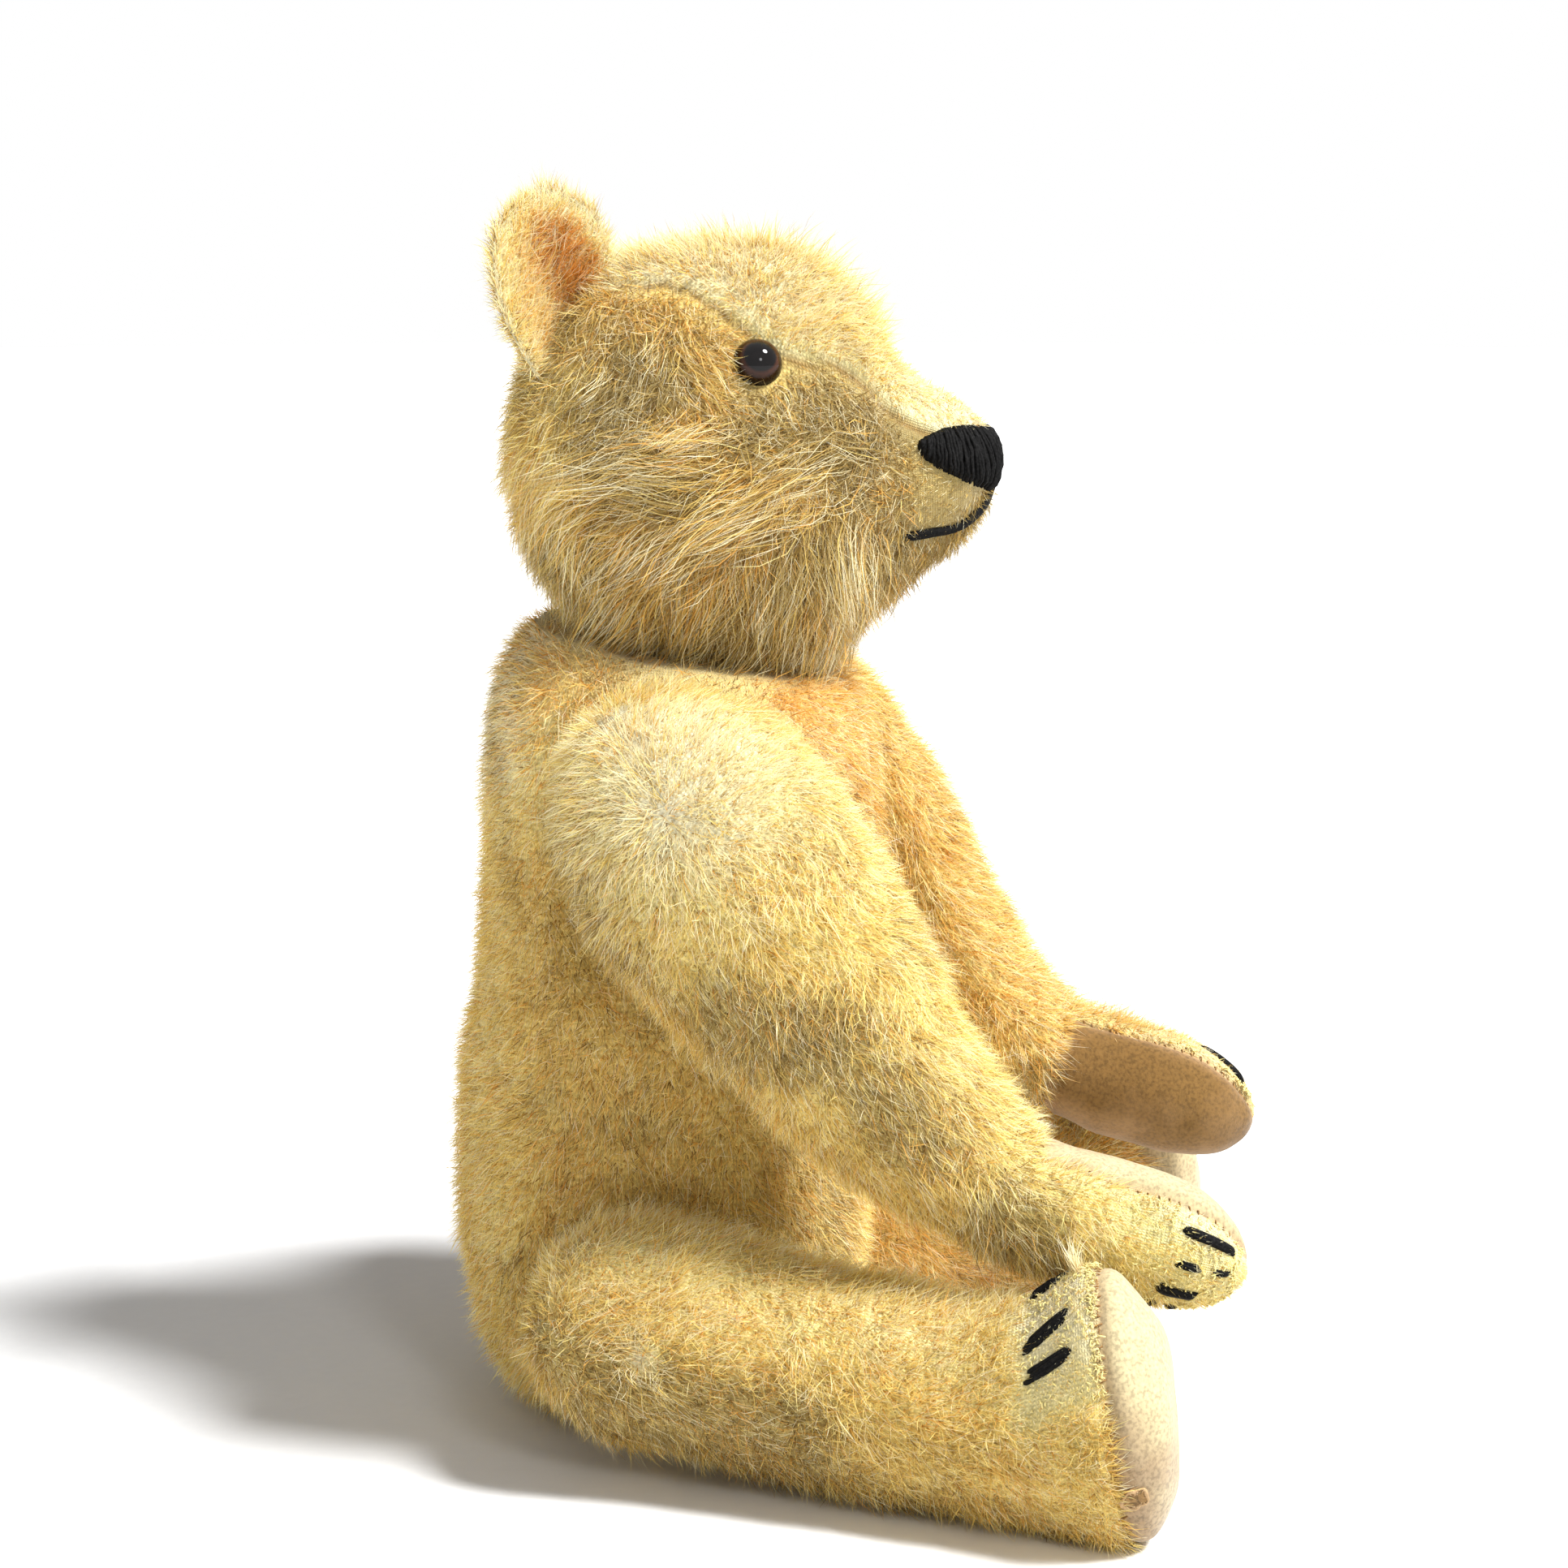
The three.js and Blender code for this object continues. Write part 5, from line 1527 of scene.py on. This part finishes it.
class BEAR_OT_face(bpy.types.Operator):
    """Embroider the nose in upright satin stitches, and the mouth"""

    bl_idname = "bear.face"
    bl_label = "Nose and Mouth"

    def execute(self, context):
        sizes, colours = context.scene.bear_sizes, context.scene.bear_colours
        rng = np.random.default_rng(5)
        head = bvh_of(Cloth(HEAD.at, 60, 72))
        strands = []
        for layer, lift, count, thick in ((0, 0.1, 52, 1.5), (0, 0.42, 72, 1.0), (1, 0.7, 60, 1.0)):
            for s in np.linspace(-1, 1, count) * (1 - 0.05 * layer):
                s = np.clip(s + rng.normal() * 0.008, -1, 1)
                side = 1 if s > 0 else -1
                top, bottom = (on_loft(HEAD, [(v, side * a) for v, a in row], 0, 40) for row in (NOSE_TOP, NOSE_BOTTOM))
                slant = np.clip(abs(s) + side * 0.05 * layer + rng.normal() * 0.012, 0, 1)
                start, end = at_share(top, abs(s)), at_share(bottom, slant)
                path = []
                for t in np.linspace(0.02 * layer, 1, 9):
                    place, normal, *_ = head.find_nearest(Vector(start + (end - start) * t))
                    rise = (lift + 0.3 * math.sin(math.pi * t)) * MM - 0.7 * MM * (abs(2 * t - 1) ** 8)
                    path.append(np.array(place) + np.array(normal) * rise + rng.normal(size=3) * 0.07 * MM)
                strands.append((path, np.full(len(path), thick * sizes.nose_thread * rng.uniform(0.75, 1.2))))
        thread = black_thread(colours)
        nose = linked("nose_stitches", strands_mesh("nose_stitches", strands, 5), thread, "head")
        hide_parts("nose_stitching")
        lines = []
        for places, sides in ((MOUTH_DROP, (1,)), (MOUTH_SIDE, (1, -1))):
            for side in sides:
                for ply in (-0.5, 0.5):
                    turned_places = [(v + ply * 0.009, side * a) for v, a in places]
                    lift = np.full(18, 0.35 * MM) - bell(np.linspace(0, 1, 18) - 1, 0.08) * 0.8 * MM
                    lines.append((on_loft(HEAD, turned_places, lift, 18), np.full(18, sizes.mouth_thread * 0.8)))
        mouth = linked("mouth_stitches", strands_mesh("mouth_stitches", lines), thread, "head")
        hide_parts("mouth_stitching")
        return {"FINISHED"}


# The torso

FRONT_SEAM_SHIFT = -3.5 * MM


def torso_relief(sizes):
    """Ridge of the front seam, side and back seams, and lumpy stuffing"""

    def relief(site):
        x, y, z = (site.point[..., a] for a in range(3))
        front = smooth(-10 * MM, -22 * MM, y)
        ridge = bell(x - FRONT_SEAM_SHIFT, 1.2 * MM) * front * smooth(0, 0.12, site.v) * smooth(0.97, 0.85, site.v)
        back = bell(x, 2 * MM) * smooth(12 * MM, 24 * MM, y) * smooth(0, 0.12, site.v) * smooth(0.97, 0.85, site.v)
        lumps = (mottle(site.point, 14 * MM, 91) - 0.5) * 1.2 * MM + (mottle(site.point, 5 * MM, 92) - 0.5) * 0.5 * MM
        free = smooth(0.05, 0.3, z / (20 * MM)) * (1 - bell(np.abs(x) - TORSO_SIDE, 2 * MM) * 0.8)
        return lumps * free + 0.8 * MM * ridge - sizes.seam_depth * back

    return relief


class BEAR_OT_torso(bpy.types.Operator):
    """Sew and stuff the torso, and brush its pile"""

    bl_idname = "bear.torso"
    bl_label = "Torso Cover"

    def execute(self, context):
        sizes, colours = context.scene.bear_sizes, context.scene.bear_colours
        cloth = Cloth(TORSO.at, *TORSO_GRID, torso_relief(sizes))
        wear = partial(torso_coat, sizes)
        tone = cloth_tone(colours, wear(cloth.site()), cloth.site())
        mesh = cover_mesh("torso_skin", cloth, tone, TORSO_MAP)
        skin = linked("torso_skin", mesh, cloth_finish(sizes), "torso")
        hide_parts("torso_cover")
        for seed, (layer, count) in enumerate(TORSO_TUFTS, 13):
            grow(layer, "torso", cloth, wear, count, seed, "torso", colours, sizes)
        return {"FINISHED"}


# Arms and legs


def limb_relief(sizes, planes, seed):
    """A groove where the felt is sewn in, and lumpy stuffing"""

    def relief(site):
        into = planes.inside(site.point)
        groove = bell(into, 0.9 * MM)
        puff = bell(np.abs(into) - 2.6 * MM, 1.6 * MM)
        lumps = (mottle(site.point, 10 * MM, seed) - 0.5) * MM
        lumps += (mottle(site.point, 4 * MM, seed + 1) - 0.5) * 0.4 * MM
        heel = smooth(0, 3 * MM, site.point[..., 2])
        return lumps * heel - sizes.seam_depth * groove * heel + 0.25 * MM * puff * heel

    return relief


def felt_tone(colour, colours, site, planes, extra=0):
    """Colour of a pad: clean in the middle, rubbed brown along its seam"""
    clean = np.broadcast_to(linear(colour), site.point.shape)
    brown = linear(colours.felt_fleck)
    low = smooth(34 * MM, 20 * MM, site.point[..., 2])
    brown = brown + (linear(colours.sole_dirt) - brown) * (0.7 * low)[..., None]
    rub = (0.5 + 0.3 * low) * bell(planes.inside(site.point), (1.4 + 4.2 * low) * MM)
    rub += 0.35 * smooth(0.5, 0.85, mottle(site.point, 8 * MM, 55))
    rub = np.clip(rub + extra, 0, 1)
    return clean + (brown - clean) * rub[..., None]


class LimbKind:
    """What both arms or both legs share. grid is the cloth's rows and columns and map_size its girth and length
    in metres. nubs is the count of cropped ends, between nub_stations and nub_angles in degrees."""

    def __init__(self, part, tip, grid, map_size, tufts, nubs, nub_stations, nub_angles):
        self.part, self.tip, self.grid, self.map_size, self.tufts = part, tip, grid, map_size, tufts
        self.nubs, self.nub_stations, self.nub_angles = nubs, nub_stations, nub_angles


ARM = LimbKind("arm", "paw", (88, 68), (0.09, 0.16), ARM_TUFTS, 270, (0.77, 0.93), (5, 130))
LEG = LimbKind("leg", "foot", (88, 72), (0.11, 0.12), LEG_TUFTS, 540, (0.6, 0.8), (-35, 75))


def make_limb(context, kind, label, edge, loft, planes, wear, pad_tone, claws, seed):
    """One arm or leg: its cover, felt pad, seam stitches, claws and pile. Angles start at its edge, in degrees."""
    sizes, colours = context.scene.bear_sizes, context.scene.bear_colours
    body = f"{kind.part}_{label}"
    pad_node = f"{kind.tip}_pad_{label}"
    claw_node = f"{kind.tip}_{label}_claw"
    cloth = Cloth(loft.at, *kind.grid, limb_relief(sizes, planes, seed))
    site = cloth.site()
    into = planes.inside(site.point)
    tone = cloth_tone(colours, wear(site), site)
    tone *= 1 - bell(into, 0.8 * MM)[..., None] * np.array(PAD_SEAM_DIRT)
    tone = np.where((into > 0)[..., None], pad_tone(site), tone)
    whole = cover_mesh(f"{body}_skin", cloth, tone, kind.map_size)
    cover, pad, seam, seam_normals = split_pad(whole, planes, f"{pad_node}_felt")
    skin = linked(f"{body}_skin", cover, cloth_finish(sizes), body)
    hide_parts(f"{body}_cover")
    felt = linked(f"{pad_node}_felt", pad, felt_finish(colours), body)
    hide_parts(pad_node)
    stitches = pad_stitches(f"{pad_node}_seam", seam, seam_normals, sizes, seed)
    thread = thread_finish("pad_seam_thread", colours.stitch, 1.6, 0.8)
    linked(f"{pad_node}_seam", stitches, thread, body)
    claw_mesh = strands_mesh(f"{claw_node}s", claws)
    claw_piece = linked(f"{claw_node}s", claw_mesh, black_thread(colours), body)
    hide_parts(*(f"{claw_node}_{i}" for i in range(1, 5)))
    turns = [edge + turn for turn in kind.nub_angles]
    cropped_ends(f"{body}_cropped", loft, planes, kind.nub_stations, turns, kind.nubs, seed + 5, colours, body)

    def off_the_felt(place):
        return planes.inside(place.point) < -0.5 * MM

    for pile_seed, (layer, count) in enumerate(kind.tufts, seed):
        grow(layer, body, cloth, wear, count, pile_seed, body, colours, sizes, off_the_felt)


def cropped_ends(name, loft, planes, stations, turns, count, seed, colours, body):
    """Cropped ends of the cloth's pile, as short curly nubs round the claws and along the pad's seam"""
    rng = np.random.default_rng(seed)
    tries = count * 6
    v = rng.uniform(*stations, size=tries)
    angle = np.radians(rng.uniform(*turns, size=tries))
    root, out = loft.at(v, angle), loft.facing(v, angle)
    into = planes.inside(root)
    kept = (into < -0.2 * MM) & (rng.random(v.size) < 0.2 + 0.8 * np.exp(into / (1.5 * MM)))
    root, out = root[kept][:count], out[kept][:count]
    strands = []
    for place, normal in zip(root, out):
        lean = tangent(rng.normal(size=3), normal)
        across = np.cross(normal, lean)
        curl = rng.uniform(1.6, 3.4)
        size = rng.uniform(0.26, 0.5) * MM
        t = np.linspace(0, curl, 5)[:, None]
        path = place + size * (lean * (1 - np.cos(t)) + normal * (np.sin(t) + 0.2) + across * t * rng.normal() * 0.25)
        strands.append((path, np.linspace(0.17, 0.11, 5) * MM))
    mesh = strands_mesh(name, strands, 3)
    linked(name, mesh, thread_finish("cropped_pile", colours.cropped, 0.72, 0.95), body)


def moth_hole(loft, colours, body):
    """A hole eaten in the sole: a frayed felt rim round the straw behind it, the straw darkened as painted shade of the
    hole
    """
    rng = np.random.default_rng(77)
    v, angle = MOTH_HOLE[0], math.radians(MOTH_HOLE[1])
    middle, out = loft.at(v, angle), loft.facing(np.float64(v), np.float64(angle))
    x = unit(np.cross(out, [0.2, 0.1, 1.0]))
    y = np.cross(out, x)
    turn = np.linspace(0, 2 * np.pi, 29)
    reach = 1.6 * MM * (1 + 0.22 * np.sin(2 * turn + 1) + 0.12 * np.sin(5 * turn))
    ring = middle + (x * np.cos(turn)[:, None] + y * 1.25 * np.sin(turn)[:, None]) * reach[:, None]
    strands = [(ring + out * 0.12 * MM, 0.26 * MM * (1 + 0.4 * np.sin(turn * 4)))]
    for _ in range(26):
        k = rng.integers(28)
        inward = unit(middle - ring[k] + x * rng.normal() * 0.6 * MM)
        t = np.linspace(0, 1, 5)[:, None]
        path = ring[k] + out * 0.35 * MM + inward * t * rng.uniform(0.5, 1.3) * MM - out * t**2 * 0.3 * MM
        strands.append((path, np.full(5, 0.07 * MM)))
    rim = strands_mesh("moth_hole_rim", strands, 5)
    linked("moth_hole_rim", rim, thread_finish("frayed_felt", colours.frayed, 1.4, 0.9), body)
    # Straw darker than the stuffing, as painted shade in the hole
    ends = [middle + out * 0.42 * MM, *(ring[:-1] * 0.94 + middle * 0.06 + out * 0.22 * MM)]
    straw = bpy.data.meshes.new("moth_hole_straw")
    straw.from_pydata([tuple(p) for p in ends], [], [(0, 1 + k, 1 + (k + 1) % 28) for k in range(28)])
    linked("moth_hole_straw", straw, inner_finish("straw_in_painted_shade", colours.straw, 900.0, 0.75, 0.9), body)


def toe_tuft(loft, colours, body):
    """Threads pulled out of the cloth above the toe claws"""
    rng = np.random.default_rng(78)
    count = 90
    v = 0.70 + rng.normal(size=count) * 0.008
    angle = np.radians(-6 + rng.normal(size=count) * 5)
    root, normal = loft.at(v, angle), loft.facing(v, angle)
    lean = np.array([0, -0.25, 0]) + rng.normal(size=(count, 3)) * 0.22
    t = np.linspace(0, 1, 4)[None, :, None]
    reach = rng.uniform(2, 6, size=(count, 1, 1)) * MM
    path = root[:, None] + (normal[:, None] * t + lean[:, None] * t**2) * reach
    mesh = ribbons("toe_tuft", path, normal + [0.3, 0.9, 0], np.full(count, 0.2 * MM), np.full(count, 0.7), rng)
    linked("toe_tuft", mesh, pile_finish(colours), body)


class BEAR_OT_arms(bpy.types.Operator):
    """Sew and stuff the arms, with felt paw pads and four claws each"""

    bl_idname = "bear.arms"
    bl_label = "Arms"

    def execute(self, context):
        sizes, colours = context.scene.bear_sizes, context.scene.bear_colours
        for number, (label, side) in enumerate(SIDES):
            loft = ARMS[label]
            planes = paw_planes(loft, label, side)
            warm = 0.04 if label == "right" else 0.35

            edge = 90 - PALM_LEAN[label]

            def wear(site):
                under_pad = planes.inside(site.point) > 0
                return limb_coat(sizes, site, side, SHOULDER, 17 * MM, smooth(0.66, 0.86, site.v), under_pad, warm)

            worn = (1, 3) if label == "right" else (2,)
            claws = claw_strands(loft, PAW_CLAWS, edge, sizes, 31 + number, worn)
            # The far paw pad gets the darker felt as painted shade
            felt = colours.felt if label == "right" else colours.felt_painted_shade

            def pad_tone(site):
                return felt_tone(felt, colours, site, planes)

            make_limb(context, ARM, label, edge, loft, planes, wear, pad_tone, claws, 101 + 10 * number)
        return {"FINISHED"}


class BEAR_OT_legs(bpy.types.Operator):
    """Sew and stuff the legs, with felt soles and four claws each"""

    bl_idname = "bear.legs"
    bl_label = "Legs"

    def execute(self, context):
        sizes, colours = context.scene.bear_sizes, context.scene.bear_colours
        for number, (label, side) in enumerate(SIDES):
            loft = LEGS[label]
            planes = sole_planes(loft)
            warm = 0.08 if label == "right" else 0.55

            def wear(site):
                under_pad = planes.inside(site.point) > 0
                from_toe = np.abs((np.degrees(site.angle) + 160) % 360 - 180)
                worn = smooth(0.565, 0.61, site.v) * (1 - 0.85 * smooth(50, 76, from_toe))
                coat = limb_coat(sizes, site, side, HIP, 3 * MM, worn, under_pad, warm)
                bare = bell(np.linalg.norm((site.point - THIGH_SCAR) * [1, 0.45, 1], axis=-1), 1.7 * MM)
                coat.density *= 1 - bare
                coat.length *= 1 - 0.8 * bare
                coat.rub = coat.rub + bare + 0.14 * worn
                return coat

            def pad_tone(site):
                low = smooth(24 * MM, 6 * MM, site.point[..., 2]) * 0.4
                return felt_tone(colours.felt, colours, site, planes, low)

            if label == "right":
                moth_hole(loft, colours, "leg_right")
                toe_tuft(loft, colours, "leg_right")
            claws = claw_strands(loft, FOOT_CLAWS, 0, sizes, 41 + number)
            make_limb(context, LEG, label, 0, loft, planes, wear, pad_tone, claws, 201 + 10 * number)
        return {"FINISHED"}


class BEAR_OT_joints(bpy.types.Operator):
    """Finish the stuffing, discs, washers and pins inside the bear"""

    bl_idname = "bear.joints"
    bl_label = "Stuffing and Joints"

    def execute(self, context):
        colours = context.scene.bear_colours
        steel = inner_finish("dull_steel", colours.steel, 350.0, 0.25, 0.42, 1.0)
        finishes = {
            "stuffing": inner_finish("wood_wool", colours.wood_wool, 700.0, 0.45, 0.9),
            "disc": inner_finish("brown_hardboard", colours.hardboard, 500.0, 0.3, 0.8),
            "washer": steel,
            "cotter_pin": steel,
        }
        for name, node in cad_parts.items():
            for word, material in finishes.items():
                if name.endswith(word):
                    node.data.materials.clear()
                    node.data.materials.append(material)
        return {"FINISHED"}


# The stage

CAMERA_TURN = 82.5
CAMERA_HEIGHT = 10
CAMERA_DISTANCE = 0.620
CAMERA_TARGET = (0, -0.0185, 0.1029)
CAMERA_FIELD = 23.47
FLOOR_RADIUS = 3.0
ROOM_LIGHT = 0.275

# Name, kind, place, power, and the sun's angle or the lamp's width
LIGHTS = (
    ("high_light", "SUN", (-0.12, -0.50, 0.86), 6.2, math.radians(16)),
    ("window_light", "AREA", (-0.85, -0.45, 0.62), 1.6, 0.22),
)


class BEAR_OT_stage(bpy.types.Operator):
    """Set the pale floor, the soft lights and the camera"""

    bl_idname = "bear.stage"
    bl_label = "Stage"

    def execute(self, context):
        scene = context.scene
        scene.view_settings.view_transform = "Standard"
        turn, rise = math.radians(CAMERA_TURN), math.radians(CAMERA_HEIGHT)
        toward = Vector((-math.sin(turn) * math.cos(rise), -math.cos(turn) * math.cos(rise), math.sin(rise)))
        camera = bpy.data.objects.new("camera", bpy.data.cameras.new("camera"))
        camera.data.sensor_width = 36
        camera.data.lens = 18 / math.tan(math.radians(CAMERA_FIELD) / 2)
        camera.location = Vector(CAMERA_TARGET) + toward * CAMERA_DISTANCE
        camera.rotation_mode = "QUATERNION"
        camera.rotation_quaternion = (-toward).to_track_quat("-Z", "Y")
        camera.data.clip_start = 0.01
        scene.collection.objects.link(camera)
        scene.camera = camera
        for light in LIGHTS:
            self.add_light(scene, *light)
        self.set_world(scene)
        self.lay_floor(scene)
        return {"FINISHED"}

    def add_light(self, scene, name, kind, place, power, size):
        """A lamp that looks at the bear"""
        lamp = bpy.data.lights.new(name, kind)
        lamp.energy = power
        if kind == "SUN":
            lamp.angle = size
        else:
            lamp.shape = "DISK"
            lamp.size = size
        light = bpy.data.objects.new(name, lamp)
        light.location = place
        light.rotation_mode = "QUATERNION"
        light.rotation_quaternion = (Vector((0, 0, 0.1)) - light.location).to_track_quat("-Z", "Y")
        scene.collection.objects.link(light)

    def set_world(self, scene):
        """White where the room is seen, dimmer where it only lights the bear"""
        world = bpy.data.worlds.new("plain_room")
        world.use_nodes = True
        tree = world.node_tree
        room = tree.nodes["Background"]
        room.inputs["Color"].default_value = (1, 1, 1, 1)
        room.inputs["Strength"].default_value = ROOM_LIGHT
        white = tree.nodes.new("ShaderNodeBackground")
        white.inputs["Color"].default_value = (1, 1, 1, 1)
        white.inputs["Strength"].default_value = 1.0
        rays = tree.nodes.new("ShaderNodeLightPath").outputs
        seen = rays["Is Camera Ray"]
        for ray in ("Is Glossy Ray", "Is Transmission Ray"):
            seen = add(tree, "ShaderNodeMath", {0: seen, 1: rays[ray]}, operation="MAXIMUM").outputs[0]
        lit = add(tree, "ShaderNodeMixShader", {0: seen, 1: room.outputs[0], 2: white.outputs[0]})
        tree.links.new(lit.outputs[0], tree.nodes["World Output"].inputs["Surface"])
        scene.world = world

    def lay_floor(self, scene):
        """A round of white paper"""
        work = bmesh.new()
        bmesh.ops.create_circle(work, cap_ends=True, segments=96, radius=FLOOR_RADIUS)
        mesh = bpy.data.meshes.new("floor")
        work.to_mesh(mesh)
        work.free()
        floor = bpy.data.objects.new("floor", mesh)
        scene.collection.objects.link(floor)
        material, tree, shader = nodes_of("white_paper")
        where = add(tree, "ShaderNodeTexCoord").outputs["Object"]
        grain = add(tree, "ShaderNodeTexNoise", inputs={"Vector": where, "Scale": 400.0, "Detail": 2.0})
        tree.links.new(ramp(tree, grain.outputs["Fac"], [(0.3, 0.93), (0.7, 0.95)]), shader.inputs["Base Color"])
        shader.inputs["Roughness"].default_value = 1.0
        shader.inputs["Specular IOR Level"].default_value = 0.0
        mesh.materials.append(material)


OPERATORS = (
    BEAR_OT_stage,
    BEAR_OT_head,
    BEAR_OT_ears,
    BEAR_OT_eyes,
    BEAR_OT_face,
    BEAR_OT_torso,
    BEAR_OT_arms,
    BEAR_OT_legs,
    BEAR_OT_joints,
)


class BEAR_PT_workshop(bpy.types.Panel):
    """Sizes, colours and steps of the bear"""

    bl_idname = "BEAR_PT_workshop"
    bl_label = "Teddy Bear"
    bl_space_type = "VIEW_3D"
    bl_region_type = "UI"
    bl_category = "Teddy Bear"

    def draw(self, context):
        layout = self.layout
        for group in (context.scene.bear_sizes, context.scene.bear_colours):
            box = layout.box()
            for name in group.__annotations__:
                box.prop(group, name)
        for operator in OPERATORS:
            layout.operator(operator.bl_idname)


CLASSES = (BearSizes, BearColours, *OPERATORS, BEAR_PT_workshop)


def register():
    """Adds the sizes, colours, operators and panel"""
    for cls in CLASSES:
        bpy.utils.register_class(cls)
    bpy.types.Scene.bear_sizes = bpy.props.PointerProperty(type=BearSizes)
    bpy.types.Scene.bear_colours = bpy.props.PointerProperty(type=BearColours)


def unregister():
    """Takes them out again"""
    del bpy.types.Scene.bear_colours
    del bpy.types.Scene.bear_sizes
    for cls in reversed(CLASSES):
        bpy.utils.unregister_class(cls)


def main():
    """Makes the whole bear"""
    register()
    bpy.ops.bear.stage()
    bpy.ops.bear.head()
    bpy.ops.bear.ears()
    bpy.ops.bear.eyes()
    bpy.ops.bear.face()
    bpy.ops.bear.torso()
    bpy.ops.bear.arms()
    bpy.ops.bear.legs()
    bpy.ops.bear.joints()


if __name__ == "__main__":
    main()
